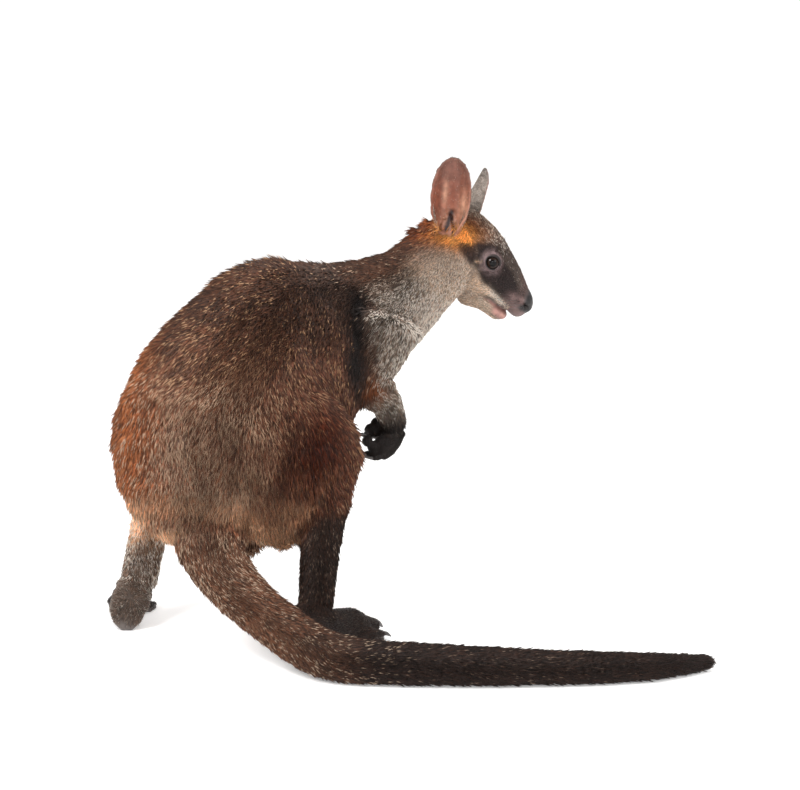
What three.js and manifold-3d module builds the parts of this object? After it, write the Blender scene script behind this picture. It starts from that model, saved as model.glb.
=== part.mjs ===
// A life-size swamp wallaby, standing still on its hind feet and tail, with its head turned to its right.
// Millimetres, +Z up, floor at Z = 0. +X is the way the muzzle and the end of the tail point, and +Y is
// the far side of the head, so the hind feet look along +Y and a little towards +X.
// Every solid reaches out to the tips of the coat. Neighbours part on thin gaps.
import * as THREE from 'three';
import { LoftGeometry } from 'three/addons/geometries/LoftGeometry.js';
import { mergeVertices } from 'three/addons/utils/BufferGeometryUtils.js';
import Module from 'manifold-3d';

const wasm = await Module();
wasm.setup();

// Driving dimensions, in millimetres and degrees.
const GAP = 0.5; // left between neighbouring solids
const FLAT_WITHIN = 0.12; // facets that lie this near to one plane become one
const EYE_RADIUS = 9.8;
const EYE_SPACING = 44; // between the two eyeballs' centres
const EAR_LENGTH = 94;
const EAR_HALF_WIDTH = 24;
const EAR_WALL = 3;
const HEAD_HEADING = -8; // turn of the muzzle from +X
const HEAD_PITCH = -43; // the muzzle points down
const SOLE_SINK = 1.5; // how far flesh is pressed flat where it stands on the floor
const FAR = 1000; // further than any part of the animal reaches

const radians = THREE.MathUtils.degToRad;
const vector = (p) => new THREE.Vector3(...p);
const UP = new THREE.Vector3(0, 0, 1);

// A unit vector with this compass heading (from +X towards +Y) and this pitch above the horizon.
function direction(heading, pitch = 0) {
  const h = radians(heading);
  const p = radians(pitch);
  return new THREE.Vector3(Math.cos(h) * Math.cos(p), Math.sin(h) * Math.cos(p), Math.sin(p));
}

// A frame whose X looks along heading and pitch, with Y level to its left, standing at origin.
function frameAt(origin, heading, pitch) {
  const ahead = direction(heading, pitch);
  const left = direction(heading + 90);
  const above = new THREE.Vector3().crossVectors(ahead, left);
  return new THREE.Matrix4().makeBasis(ahead, left, above).setPosition(vector(origin));
}

// ---------------------------------------------------------------------------------------------------
// Shapes

function solid(geometry) {
  const bare = new THREE.BufferGeometry();
  bare.setAttribute('position', geometry.getAttribute('position'));
  bare.setIndex(geometry.getIndex());
  const merged = mergeVertices(bare, 1e-4);
  return new wasm.Manifold(new wasm.Mesh({
    numProp: 3,
    vertProperties: merged.attributes.position.array,
    triVerts: new Uint32Array(merged.index.array),
  }));
}

// Flesh round a smooth line. Each ring is [x, y, z, above, below, beside]: a point of the line, and how far
// the surface stands from it towards `dorsal`, away from it, and to either side. Both ends are domed.
function flesh(rings, { dorsal = UP, sides = 16, steps = 10, domes = [10, 10], rounds = 3, frame }, grow) {
  const line = new THREE.CatmullRomCurve3(rings.map(([x, y, z]) => {
    const point = new THREE.Vector3(x, y, z);
    return frame ? point.applyMatrix4(frame) : point;
  }), false, 'centripetal');
  const reach = new THREE.CatmullRomCurve3(rings.map((ring) => vector(ring.slice(3))), false, 'catmullrom');
  const ring = (t, scale, shift) => {
    const along = line.getTangent(t);
    const above = dorsal.clone().addScaledVector(along, -dorsal.dot(along)).normalize();
    const beside = new THREE.Vector3().crossVectors(along, above);
    const centre = line.getPoint(t).addScaledVector(along, shift);
    const size = reach.getPoint(t).addScalar(grow).multiplyScalar(scale);
    return Array.from({ length: sides }, (_, i) => {
      const angle = (i / sides) * 2 * Math.PI;
      const out = Math.cos(angle) * size.z;
      const lift = Math.sin(angle) * (Math.sin(angle) > 0 ? size.x : size.y);
      return centre.clone().addScaledVector(beside, -out).addScaledVector(above, lift);
    });
  };
  const dome = (t, height) => Array.from({ length: rounds }, (_, i) => {
    const angle = ((i + 0.3) / rounds) * (Math.PI / 2);
    return ring(t, Math.sin(angle), height * Math.cos(angle));
  });
  const sections = [
    ...dome(0, -domes[0] - grow),
    ...Array.from({ length: steps + 1 }, (_, i) => ring(i / steps, 1, 0)),
    ...dome(1, domes[1] + grow).toReversed(),
  ];
  return solid(new LoftGeometry(sections, { capStart: true, capEnd: true }));
}

const joined = (pieces) => pieces.reduce((all, piece) => all.add(piece));

// The biggest body of a solid, without the slivers that a cut leaves.
function biggest(shape) {
  return shape.decompose().reduce((best, body) => (body.volume() > best.volume() ? body : best));
}

function box(from, to) {
  const low = vector(from);
  const size = vector(to).sub(low);
  const middle = low.addScaledVector(size, 0.5);
  return solid(new THREE.BoxGeometry(size.x, size.y, size.z).translate(middle.x, middle.y, middle.z));
}

// Everything under the floor, cut away so that feet and tail stand on small flats.
const FLOOR = box([-FAR, -FAR, -FAR], [FAR, FAR, 0]);

// ---------------------------------------------------------------------------------------------------
// Trunk, neck and tail

const TRUNK_RINGS = [
  [-18, -226, 140, 52, 50, 62],
  [-12, -208, 185, 92, 72, 100],
  [4, -184, 222, 132, 80, 118],
  [28, -148, 246, 147, 94, 118],
  [58, -112, 262, 160, 90, 108],
  [94, -82, 280, 159, 74, 94],
  [134, -56, 304, 140, 58, 80],
  [170, -38, 330, 106, 50, 66],
];
const trunk = (grow) => flesh(TRUNK_RINGS, { sides: 20, steps: 12, domes: [26, 24] }, grow);

const NECK_RINGS = [
  [150, -44, 345, 80, 80, 64],
  [200, -20, 372, 57, 66, 54],
  [236, 4, 398, 46, 54, 47],
  [266, 22, 426, 43, 50, 43],
  [284, 28, 438, 38, 44, 38],
];
const neck = (grow) => flesh(NECK_RINGS, { sides: 16, steps: 5, domes: [14, 14] }, grow);

const TAIL_RINGS = [
  [-12, -212, 160, 50, 46, 50],
  [0, -244, 122, 42, 42, 42],
  [15, -268, 96, 34, 35, 35],
  [49, -299, 66, 29, 30, 30],
  [82, -325, 47, 28, 29, 29],
  [112, -352, 33, 27.5, 28.5, 28],
  [142, -372, 27, 26.5, 28, 27],
  [179, -382, 24.5, 25, 26, 25.5],
  [263, -388, 22.5, 23, 24, 23.5],
  [368, -386, 19.5, 20, 21, 20.5],
  [475, -370, 15.5, 16, 17, 16.5],
  [538, -334, 10.5, 9.5, 11.5, 9.5],
];
const wholeTail = (grow) => flesh(
  TAIL_RINGS,
  { sides: 10, steps: 22, domes: [20, 12], rounds: 2 },
  grow,
).subtract(FLOOR);

// Where the tail parts into lengths: a point of its line and the heading of the cut's normal.
const TAIL_CUTS = [
  { at: [40, -291, 74], heading: -42, pitch: -38 },
  { at: [205, -389, 24], heading: 0, pitch: 0 },
  { at: [385, -384, 19], heading: 7, pitch: 0 },
];

// The half space beyond a cut, as a big box.
function beyond({ at, heading, pitch }, shift) {
  const block = new THREE.BoxGeometry(2 * FAR, 2 * FAR, 2 * FAR).translate(FAR + shift, 0, 0);
  return solid(block.applyMatrix4(frameAt(at, heading, pitch)));
}

// Length number i of the tail, from cut i - 1 to cut i.
function tailLength(i, grow) {
  let length = wholeTail(grow);
  if (i > 0) length = length.intersect(beyond(TAIL_CUTS[i - 1], GAP / 2 - grow));
  if (i < TAIL_CUTS.length) length = length.subtract(beyond(TAIL_CUTS[i], -GAP / 2 + grow));
  return length;
}

// ---------------------------------------------------------------------------------------------------
// Hind legs

const outward = (side) => (side === 'left' ? 1 : -1); // along Y, in a frame that looks ahead

const HIND = {
  right: {
    thigh: [
      [44, -236, 234, 54, 92, 40],
      [84, -212, 224, 84, 118, 56],
      [116, -180, 218, 72, 84, 46],
      [132, -156, 218, 44, 48, 38],
    ],
    shank: [
      [128, -166, 214, 46, 48, 40],
      [125, -202, 158, 32, 36, 28],
      [120, -242, 98, 23, 26, 22],
      [117, -267, 54, 21, 22, 21],
    ],
    plug: [90, -204, 210],
    heel: [110, -297],
    footHeading: 61,
  },
  left: {
    thigh: [
      [-52, -200, 228, 54, 90, 42],
      [-68, -144, 216, 84, 104, 56],
      [-62, -94, 214, 70, 78, 48],
      [-52, -60, 214, 44, 46, 38],
    ],
    shank: [
      [-52, -66, 214, 46, 48, 40],
      [-68, -86, 158, 32, 36, 28],
      [-86, -112, 98, 24, 26, 23],
      [-94, -128, 54, 22, 24, 23],
    ],
    plug: [-64, -136, 206],
    heel: [-106, -163],
    footHeading: 93,
  },
};
const LEG_HEADING = 67; // the way the knees point
const THIGH_LENGTH = 190; // along that heading, of the oval that parts a thigh from the trunk
const THIGH_HEIGHT = 222;
const THIGH_DEPTH = 48; // how far into the trunk a thigh is parted
const KNEE_CUT = 160; // height of the cut below the knee

const thighMuscle = (side) => (grow) => flesh(
  HIND[side].thigh,
  { sides: 14, steps: 5, domes: [26, 22], rounds: 2 },
  grow,
);
const shank = (side) => (grow) => flesh(
  HIND[side].shank,
  { dorsal: direction(LEG_HEADING), sides: 12, steps: 5, domes: [14, 10], rounds: 2 },
  grow,
);

// An oval plug set into the flank. A thigh is all the flesh inside it.
const thighPlug = (side) => (grow) => {
  const { plug } = HIND[side];
  const oval = new THREE.CylinderGeometry(1, 1, FAR, 22)
    .scale(THIGH_LENGTH / 2 + grow, 1, THIGH_HEIGHT / 2 + grow)
    .translate(0, outward(side) * (FAR / 2 - THIGH_DEPTH - grow), 0);
  return solid(oval.applyMatrix4(frameAt(plug, LEG_HEADING)));
};
const rump = (grow) => joined([trunk(grow), thighMuscle('right')(grow), thighMuscle('left')(grow)]);
const aboveKneeCut = (grow) => box([-FAR, -FAR, KNEE_CUT - grow], [FAR, FAR, FAR]);
const thigh = (side) => (grow) => shank(side)(grow)
  .intersect(aboveKneeCut(grow))
  .add(rump(grow))
  .intersect(thighPlug(side)(grow));

// In the foot's own frame: X from the heel to the toes, Y to the animal's left, Z up from the floor.
const footFrame = (side) => frameAt([...HIND[side].heel, 0], HIND[side].footHeading, 0);
const SOLE_RINGS = [
  [4, 0, 24, 25, 25, 20],
  [30, 0, 24, 28, 25, 22],
  [62, 0, 22, 25, 23, 19],
  [90, 0, 20, 22, 21, 20],
  [106, 0, 16, 18, 17, 18],
];
// Each toe: its base and tip beside the foot's axis (outwards is positive), its half width and its claw.
const TOES = {
  big: { base: [98, 1], tip: [137, 2], thick: 12, claw: 19 },
  outer: { base: [84, 16], tip: [114, 25], thick: 8.5, claw: 15 },
  inner: { base: [94, -14], tip: [114, -17], thick: 5.5, claw: 9 },
  groom: { base: [90, -20], tip: [108, -25], thick: 5, claw: 8 },
};

// A toe's rings: the share of its length, then the height of its line and its reach above and beside, in
// half widths of the toe. It reaches the floor below.
const TOE_SHAPE = [
  [0, 1, 1, 1],
  [0.5, 1.3, 1.05, 1],
  [1, 0.85, 0.8, 0.85],
];
// A claw's rings: the share of its length, then the height of its line and its radius, in the same unit.
const CLAW_SHAPE = [
  [0, 1, 0.42],
  [0.55, 0.9, 0.34],
  [1, 0.35, 0.12],
];

function toe(side, { base, tip, thick }, grow) {
  const rings = TOE_SHAPE.map(([share, height, above, beside]) => [
    THREE.MathUtils.lerp(base[0], tip[0], share),
    outward(side) * THREE.MathUtils.lerp(base[1], tip[1], share),
    height * thick,
    above * thick,
    height * thick + SOLE_SINK,
    beside * thick,
  ]);
  const domes = [thick, thick * 0.7];
  return flesh(rings, { sides: 7, steps: 2, domes, rounds: 2, frame: footFrame(side) }, grow);
}

const foot = (side) => (grow) => joined([
  flesh(SOLE_RINGS, { sides: 10, steps: 4, domes: [12, 10], rounds: 2, frame: footFrame(side) }, grow),
  ...Object.values(TOES).map((t) => toe(side, t, grow)),
]).subtract(FLOOR);

const toeClaw = (side, name) => (grow) => {
  const { base, tip, thick, claw } = TOES[name];
  const run = vector([tip[0] - base[0], outward(side) * (tip[1] - base[1]), 0]).normalize();
  const end = vector([tip[0], outward(side) * tip[1], 0]);
  const rings = CLAW_SHAPE.map(([share, height, radius]) => {
    const { x, y } = end.clone().addScaledVector(run, thick * 0.3 + claw * share);
    return [x, y, height * thick, radius * thick, radius * thick, radius * thick * 0.8];
  });
  const horn = flesh(rings, { sides: 5, steps: 2, domes: [1, 1], rounds: 1, frame: footFrame(side) }, grow);
  return horn.subtract(FLOOR);
};

// ---------------------------------------------------------------------------------------------------
// Forelimbs

const FORE = {
  right: {
    upper: [
      [196, -84, 350, 46, 46, 32],
      [184, -88, 316, 38, 38, 28],
      [170, -95, 284, 28, 27, 24],
    ],
    lower: [
      [168, -96, 280, 25, 27, 22],
      [190, -90, 260, 22, 21, 20],
      [205, -83, 226, 15, 15, 15],
    ],
    hand: [
      [205, -82, 222, 13, 13, 13],
      [197, -86, 206, 13, 11, 15],
      [188, -90, 196, 10, 9, 14],
    ],
    fingers: { heading: 200, pitch: -25, spread: 16, back: direction(20, -60) },
  },
  left: {
    upper: [
      [134, 6, 346, 44, 44, 32],
      [136, 12, 312, 36, 36, 26],
      [146, 10, 280, 26, 26, 22],
    ],
    lower: [
      [146, 10, 278, 24, 25, 21],
      [170, 0, 258, 20, 20, 18],
      [192, -12, 238, 14, 14, 14],
    ],
    hand: [
      [194, -13, 235, 12, 12, 12],
      [192, -20, 220, 12, 11, 15],
      [188, -25, 212, 9, 9, 14],
    ],
    fingers: { heading: 215, pitch: -35, spread: 16, back: direction(35, -55) },
  },
};

const upperArm = (side) => (grow) => flesh(
  FORE[side].upper,
  { dorsal: direction(30), sides: 11, steps: 5, domes: [16, 12], rounds: 2 },
  grow,
);
const forearm = (side) => (grow) => flesh(
  FORE[side].lower,
  { dorsal: direction(30, 30), sides: 10, steps: 5, domes: [10, 6], rounds: 2 },
  grow,
);

const FINGER_ANGLES = [-40, -20, 0, 20, 40]; // fan of the five fingers, in degrees
// Rings of a finger and of its claw: the distance from the palm, the curl towards the palm and the radius.
const FINGER_SHAPE = [
  [0, 0, 4.2],
  [9, 1.5, 4.2],
  [15, 4, 3.6],
];
const FINGER_CLAW_SHAPE = [
  [16, 4.5, 2.2],
  [21, 7.5, 1.7],
  [26, 13, 0.7],
];

// The line of one finger: where it starts in the palm, its direction and the back of the hand.
function fingerLine(side, i) {
  const { heading, pitch, spread, back } = FORE[side].fingers;
  const palm = vector(FORE[side].hand.at(-1).slice(0, 3));
  const ahead = direction(heading, pitch);
  const across = new THREE.Vector3().crossVectors(ahead, back).normalize();
  const angle = radians(FINGER_ANGLES[i]);
  const start = palm.addScaledVector(across, Math.sin(angle) * spread);
  const run = ahead.multiplyScalar(Math.cos(angle * 0.5)).addScaledVector(across, Math.sin(angle * 0.5));
  return { start, run, back };
}

// A finger or its claw, from the rings of its shape.
function fingerPiece(side, i, shape, domes, grow) {
  const { start, run, back } = fingerLine(side, i);
  const rings = shape.map(([along, curl, radius]) => {
    const p = start.clone().addScaledVector(run, along).addScaledVector(back, -curl);
    return [...p.toArray(), radius, radius, radius];
  });
  return flesh(rings, { dorsal: back, sides: 5, steps: 2, domes, rounds: 1 }, grow);
}

const hand = (side) => (grow) => joined([
  flesh(
    FORE[side].hand,
    { dorsal: FORE[side].fingers.back, sides: 8, steps: 3, domes: [6, 6], rounds: 2 },
    grow,
  ),
  ...FINGER_ANGLES.map((_, i) => fingerPiece(side, i, FINGER_SHAPE, [3, 2], grow)),
]);

const fingerClaw = (side, i) => (grow) => fingerPiece(side, i, FINGER_CLAW_SHAPE, [1, 0.8], grow);

// ---------------------------------------------------------------------------------------------------
// Head. Its frame stands between the eyes: X along the muzzle, Y to the animal's left, Z to the brow.

const HEAD_FRAME = frameAt([324, 32, 412], HEAD_HEADING, HEAD_PITCH);

const CROWN = new THREE.Vector3().setFromMatrixColumn(HEAD_FRAME, 2);

const HEAD_RINGS = [
  [-74, 0, -4, 28, 38, 28],
  [-56, 0, -6, 37, 46, 34],
  [-24, 0, -10, 41, 50, 37],
  [4, 0, -13, 37, 45, 32],
  [26, 0, -14, 31, 23, 23],
  [48, 0, -14.5, 21.5, 18, 16],
  [62, 0, -14.5, 14.5, 16, 13],
];
const skull = (grow) => flesh(
  HEAD_RINGS,
  { dorsal: CROWN, sides: 16, steps: 10, domes: [14, 8], frame: HEAD_FRAME },
  grow,
);

const JAW_RINGS = [
  [2, 0, -52, 14, 18, 21],
  [24, 0, -47, 8, 10, 15],
  [42, 0, -42.5, 6, 7, 10.5],
  [53, 0, -39.5, 4.5, 4.5, 8],
];
const lowerJaw = (grow) => flesh(
  JAW_RINGS,
  { dorsal: CROWN, sides: 10, steps: 4, domes: [8, 4], rounds: 2, frame: HEAD_FRAME },
  grow,
);

const eyeCentre = (side) => new THREE.Vector3(0, outward(side) * EYE_SPACING / 2, 0).applyMatrix4(HEAD_FRAME);
const eye = (side) => (grow) => {
  const centre = eyeCentre(side);
  return solid(new THREE.SphereGeometry(EYE_RADIUS + grow, 12, 8).translate(centre.x, centre.y, centre.z));
};

// An ear is a leaf rolled into a cup. Its outline is the half width at each share of its length.
const EAR = {
  right: { base: [268, 8, 446], tip: [275, -7, 536], faces: direction(-94) },
  left: { base: [267, 57, 442], tip: [316, 71, 528], faces: direction(8) },
};
const EAR_OUTLINE = [
  [0, 0.5],
  [0.12, 0.68],
  [0.3, 0.92],
  [0.5, 1.03],
  [0.68, 1],
  [0.84, 0.84],
  [0.94, 0.58],
  [1, 0.24],
];
// Half the cup's arc in degrees, at each share of the ear's length.
const EAR_ROLL = [
  [0, 150],
  [0.14, 130],
  [0.3, 95],
  [0.55, 70],
  [1, 45],
];
const EAR_SPAN = 7; // points across the cup, on each of its faces

// Reads a table of [place, value] rows at one place, with straight lines between the rows.
function tableAt(table, place) {
  const k = Math.max(1, table.findIndex(([at]) => at >= place));
  const [[a, from], [b, to]] = [table[k - 1], table[k]];
  return THREE.MathUtils.mapLinear(place, a, b, from, to);
}

const ear = (side) => (grow) => {
  const { tip, faces } = EAR[side];
  const base = vector(EAR[side].base);
  const axis = vector(tip).sub(base).normalize();
  const front = faces.clone().addScaledVector(axis, -faces.dot(axis)).normalize();
  const across = new THREE.Vector3().crossVectors(axis, front);
  const sections = EAR_OUTLINE.map(([share, width]) => {
    const half = width * EAR_HALF_WIDTH;
    const arc = radians(tableAt(EAR_ROLL, share));
    const radius = half / Math.sin(Math.min(arc, Math.PI / 2));
    const centre = base.clone().addScaledVector(axis, share * EAR_LENGTH).addScaledVector(front, radius);
    const face = (r, turn) => Array.from({ length: EAR_SPAN }, (_, i) => {
      const angle = turn * arc * (1 - (2 * i) / (EAR_SPAN - 1));
      const aside = Math.sin(angle) * r;
      const back = Math.cos(angle) * r;
      return centre.clone().addScaledVector(across, aside).addScaledVector(front, -back);
    });
    return [...face(radius + grow, 1), ...face(radius - EAR_WALL - grow, -1)];
  });
  return solid(new LoftGeometry(sections, { capStart: true, capEnd: true }));
};

// ---------------------------------------------------------------------------------------------------
// The nodes: each one's shape, its finish, and the neighbours that are cut out of it with a gap all round.

const FINISH = {
  coat: { color: 0x5b4436, roughness: 0.95, metalness: 0 },
  darkCoat: { color: 0x2e2623, roughness: 0.95, metalness: 0 },
  greyCoat: { color: 0x8a7a6c, roughness: 0.95, metalness: 0 },
  earSkin: { color: 0x9a7468, roughness: 0.8, metalness: 0 },
  eye: { color: 0x14100e, roughness: 0.08, metalness: 0 },
  claw: { color: 0x1c1817, roughness: 0.4, metalness: 0 },
};

const TAIL_NAMES = ['tail_root', 'tail_bend', 'tail_middle', 'tail_tip'];
const tailNodes = TAIL_NAMES.map((name, i) => ({
  name,
  shape: (grow) => tailLength(i, grow),
  finish: 'darkCoat',
  besides: [rump],
}));

const sideNodes = (side) => [
  { name: `thigh_${side}`, shape: thigh(side), finish: 'coat' },
  { name: `shank_${side}`, shape: shank(side), finish: 'darkCoat', besides: [rump, thigh(side)] },
  { name: `foot_${side}`, shape: foot(side), finish: 'darkCoat', besides: [shank(side)] },
  { name: `upper_arm_${side}`, shape: upperArm(side), finish: 'greyCoat', besides: [trunk, neck] },
  {
    name: `forearm_${side}`,
    shape: forearm(side),
    finish: 'greyCoat',
    besides: [upperArm(side), rump, neck],
  },
  { name: `hand_${side}`, shape: hand(side), finish: 'darkCoat', besides: [forearm(side), rump] },
  { name: `ear_${side}`, shape: ear(side), finish: 'earSkin', besides: [skull, neck] },
  { name: `eye_${side}`, shape: eye(side), finish: 'eye' },
  ...Object.keys(TOES).map((name) => (
    { name: `claw_${name}_toe_${side}`, shape: toeClaw(side, name), finish: 'claw', besides: [foot(side)] }
  )),
  ...FINGER_ANGLES.map((_, i) => (
    {
      name: `claw_finger_${i + 1}_${side}`,
      shape: fingerClaw(side, i),
      finish: 'claw',
      besides: [hand(side), rump],
    }
  )),
];

const NODES = [
  { name: 'trunk', shape: rump, finish: 'coat', besides: [thighPlug('right'), thighPlug('left')] },
  { name: 'neck', shape: neck, finish: 'greyCoat', besides: [trunk, skull] },
  { name: 'head', shape: skull, finish: 'greyCoat', besides: [eye('right'), eye('left')] },
  { name: 'lower_jaw', shape: lowerJaw, finish: 'greyCoat', besides: [skull, neck] },
  ...tailNodes,
  ...sideNodes('right'),
  ...sideNodes('left'),
];

function meshOf({ name, shape, finish, besides = [] }) {
  const rest = besides.reduce((left, neighbour) => left.subtract(neighbour(GAP)), shape(0));
  const { vertProperties, triVerts } = biggest(rest).simplify(FLAT_WITHIN).getMesh();
  const geometry = new THREE.BufferGeometry();
  geometry.setAttribute('position', new THREE.BufferAttribute(new Float32Array(vertProperties), 3));
  geometry.setIndex(new THREE.BufferAttribute(triVerts, 1));
  geometry.computeVertexNormals();
  const mesh = new THREE.Mesh(geometry, new THREE.MeshStandardMaterial(FINISH[finish]));
  mesh.name = name;
  return mesh;
}

const wallaby = new THREE.Group();
wallaby.add(...NODES.map(meshOf));

// The origin stands on the floor under the middle of the animal's box.
const bounds = new THREE.Box3().setFromObject(wallaby);
const middle = bounds.getCenter(new THREE.Vector3());
wallaby.position.set(-middle.x, -middle.y, -bounds.min.z);

export default wallaby;
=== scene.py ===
"""The looks of a life-size swamp wallaby: one skin over the whole body, a coat of mesh tufts, and the
eyes, lids, claws and whiskers. Metres, in the same frame as the solids: +X is the way the muzzle points,
+Y is the far side of the head, and the floor is at Z = 0."""
import math

import bmesh
import bpy
import numpy as np
from mathutils import Matrix, Vector
from mathutils.bvhtree import BVHTree


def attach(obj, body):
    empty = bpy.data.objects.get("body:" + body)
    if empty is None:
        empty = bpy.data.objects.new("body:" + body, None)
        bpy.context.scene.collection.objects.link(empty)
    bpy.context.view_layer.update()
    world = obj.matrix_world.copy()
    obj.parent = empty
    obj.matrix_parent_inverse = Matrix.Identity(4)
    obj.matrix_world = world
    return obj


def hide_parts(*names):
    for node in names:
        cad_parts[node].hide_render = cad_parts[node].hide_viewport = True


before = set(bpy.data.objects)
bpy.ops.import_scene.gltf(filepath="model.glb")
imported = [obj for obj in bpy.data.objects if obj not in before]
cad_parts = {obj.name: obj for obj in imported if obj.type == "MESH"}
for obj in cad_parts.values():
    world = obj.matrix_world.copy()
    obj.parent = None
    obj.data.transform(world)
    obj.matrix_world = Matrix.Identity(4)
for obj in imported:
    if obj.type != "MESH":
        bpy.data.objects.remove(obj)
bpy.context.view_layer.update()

MM = 0.001
SEED = 41
CORE_VOXEL = 4 * MM  # grain of the big forms while they are worked
VOXEL = 1.5 * MM  # and of the whole flesh
OVERLAP = 0.45  # millimetres by which each node is swollen, so that it runs into its neighbours
SKIN_TRIANGLES = 180_000
PATCH = 0.003  # width of one tuft's place on its map
BAKE_MAP = "OFBake"
SIDES = ("right", "left")

# ----------------------------------------------------------------------------------------------------
# Measures of the head, in millimetres, in its own frame: X along the muzzle, Y to the animal's left and
# Z to the brow, from a point midway between the eyes.

HEAD_AT = Vector((0.12127, 0.19254, 0.412))
HEAD_HEADING, HEAD_PITCH = math.radians(-8), math.radians(-43)
MUZZLE = Vector(
    (
        math.cos(HEAD_HEADING) * math.cos(HEAD_PITCH),
        math.sin(HEAD_HEADING) * math.cos(HEAD_PITCH),
        math.sin(HEAD_PITCH),
    )
)
HEAD_LEFT = Vector((-math.sin(HEAD_HEADING), math.cos(HEAD_HEADING), 0))
BROW = MUZZLE.cross(HEAD_LEFT)
HEAD_AXES = np.array([MUZZLE, HEAD_LEFT, BROW])

EYE_RADIUS = 9.8
EYE_SPACING = 44  # between the centres of the two
EYE_LOOKS = (0.22, 0.95, 0.12)  # for the left eye; the right one mirrors it
LID_OPENING = 54  # degrees from the eye's axis to the lids' edge


def to_head(points):
    """Points in metres, in the head's frame and in millimetres."""
    return (np.asarray(points) - np.array(HEAD_AT)) @ HEAD_AXES.T / MM


def from_head(points):
    """Points of the head's frame, back in metres."""
    return np.asarray(points, float) @ HEAD_AXES * MM + np.array(HEAD_AT)


# ----------------------------------------------------------------------------------------------------
# The coat, part by part, in millimetres: how deep it lies over the skin, how long and how wide its tufts
# are, the ground that one tuft covers in square millimetres, and the share of pale-tipped tufts.

COAT = {
    "trunk": (6, 17, 0.7, 1.48, 0.37),
    "thigh": (6, 16, 0.7, 1.48, 0.42),
    "neck": (4.5, 11, 0.65, 1.25, 0.68),
    "upper_arm": (4.5, 12, 0.65, 1.3, 0.60),
    "forearm": (3, 8.5, 0.7, 1.2, 0.42),
    "hand": (0.8, 3.2, 0.55, 0.9, 0.03),
    "shank": (4, 10, 0.8, 1.45, 0.18),
    "foot": (1.6, 6, 0.65, 1.3, 0.12),
    "tail_root": (5.2, 14, 0.75, 1.5, 0.38),
    "tail_bend": (4.8, 12, 0.75, 1.5, 0.24),
    "tail_middle": (4.3, 11, 0.85, 1.5, 0.13),
    "tail_tip": (3.6, 10, 0.85, 1.45, 0.10),
    "head": (1.6, 4.4, 0.5, 0.76, 0.47),
    "lower_jaw": (0.9, 3.0, 0.5, 0.8, 0.40),
    "ear": (0.4, 2.4, 0.45, 0.8, 0.40),
}
# The way that the hair lies: along these lines, in millimetres, and a share of it straight down.
LIE = {
    "trunk": ([(-33, 123, 330), (-145, 48, 262), (-199, -24, 222), (-221, -66, 140)], 0.45),
    "neck": ([(90, 190, 450), (0, 140, 372), (-52, 116, 345)], 0.25),
    "thigh_right": ([(-90, -20, 300), (-84, -40, 200), (-76, -52, 130)], 0.6),
    "thigh_left": ([(-270, 10, 300), (-268, 40, 200), (-280, 60, 130)], 0.6),
    "shank_right": ([(-78, -20, 190), (-83, -82, 98), (-86, -107, 40)], 0.3),
    "shank_left": ([(-258, 90, 190), (-289, 48, 98), (-297, 32, 40)], 0.3),
    "foot_right": ([(-93, -137, 40), (-68, -93, 20), (-26, -16, 8)], 0.0),
    "foot_left": ([(-309, -3, 40), (-311, 47, 20), (-316, 134, 8)], 0.0),
    "tail": (
        [(-215, -52, 160), (-188, -108, 96), (-121, -165, 47), (-61, -212, 27), (60, -228, 23)]
        + [(165, -226, 20), (272, -210, 16), (335, -174, 10)],
        0.0,
    ),
    "upper_arm_right": ([(-7, 76, 350), (-19, 72, 316), (-33, 65, 284)], 0.2),
    "upper_arm_left": ([(-69, 166, 346), (-67, 172, 312), (-57, 170, 280)], 0.2),
    "forearm_right": ([(-35, 64, 280), (-13, 70, 260), (2, 77, 226)], 0.0),
    "forearm_left": ([(-57, 170, 278), (-33, 160, 258), (-11, 148, 238)], 0.0),
    "hand_right": ([(2, 78, 222), (-6, 74, 206), (-15, 70, 196), (-40, 60, 185)], 0.0),
    "hand_left": ([(-9, 147, 235), (-11, 140, 220), (-15, 135, 212), (-35, 120, 195)], 0.0),
    "ear_right": ([(65, 168, 446), (72, 153, 536)], 0.0),
    "ear_left": ([(64, 217, 442), (113, 231, 528)], 0.0),
}
EARS = {"right": LIE["ear_right"][0], "left": LIE["ear_left"][0]}
EAR_FACES = {"right": (-0.07, -0.99, 0.0), "left": (0.99, 0.14, 0.0)}
HEAD_LIE = [(70, 0, -14), (0, 0, -10), (-60, 0, 4), (-110, 0, 10)]  # from the nose back, in the head's frame

# Colours of the coat, of its pale tips and of the bare skin, as sRGB hex values.
SHOULDER = 0x43342D
DORSAL = 0x3E2619
FLANK = 0x654536
RUMP = 0x684836
RUFOUS = 0x824D2D
RUSSET = 0x3C1705
TAN = 0xD2A785
GREY = 0x6B5F55
CHEST = 0xA3958A
CHEEK = 0xAE9A88
BUFF = 0xC4A68B
MASK = 0x2E2220
BRIDGE = 0x4A3F3A
SOOT = 0x1D1715
EAR_BASE = 0xECA254
# the rufous round the ears' feet, darkened as painted shade
EAR_SHADE = 0x743A1A
LEG = 0x281A13
LEG_BACK = 0x6C5C51
TAIL = 0x261A15
PALE_TICK = 0xF0E4D6
WARM_TICK = 0xB68D6A
RUMP_TICK = 0xCFB399
DULL_TICK = 0x8E7868
EAR_INSIDE = 0x74402F
EAR_PALE = 0xAD8068
EAR_RIM = 0xBFB2A8
MUZZLE_SKIN = 0x65504D
NOSE_SKIN = 0x1B1717
LIP_SKIN = 0xA0766C
# Dark flesh in shade, for the closed mouth's line and the ears' slits, where shade is painted in.
LID_SKIN = 0x75605F
SHADED_RECESS = 0x241010
PAD_SKIN = 0x5B534F

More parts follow.
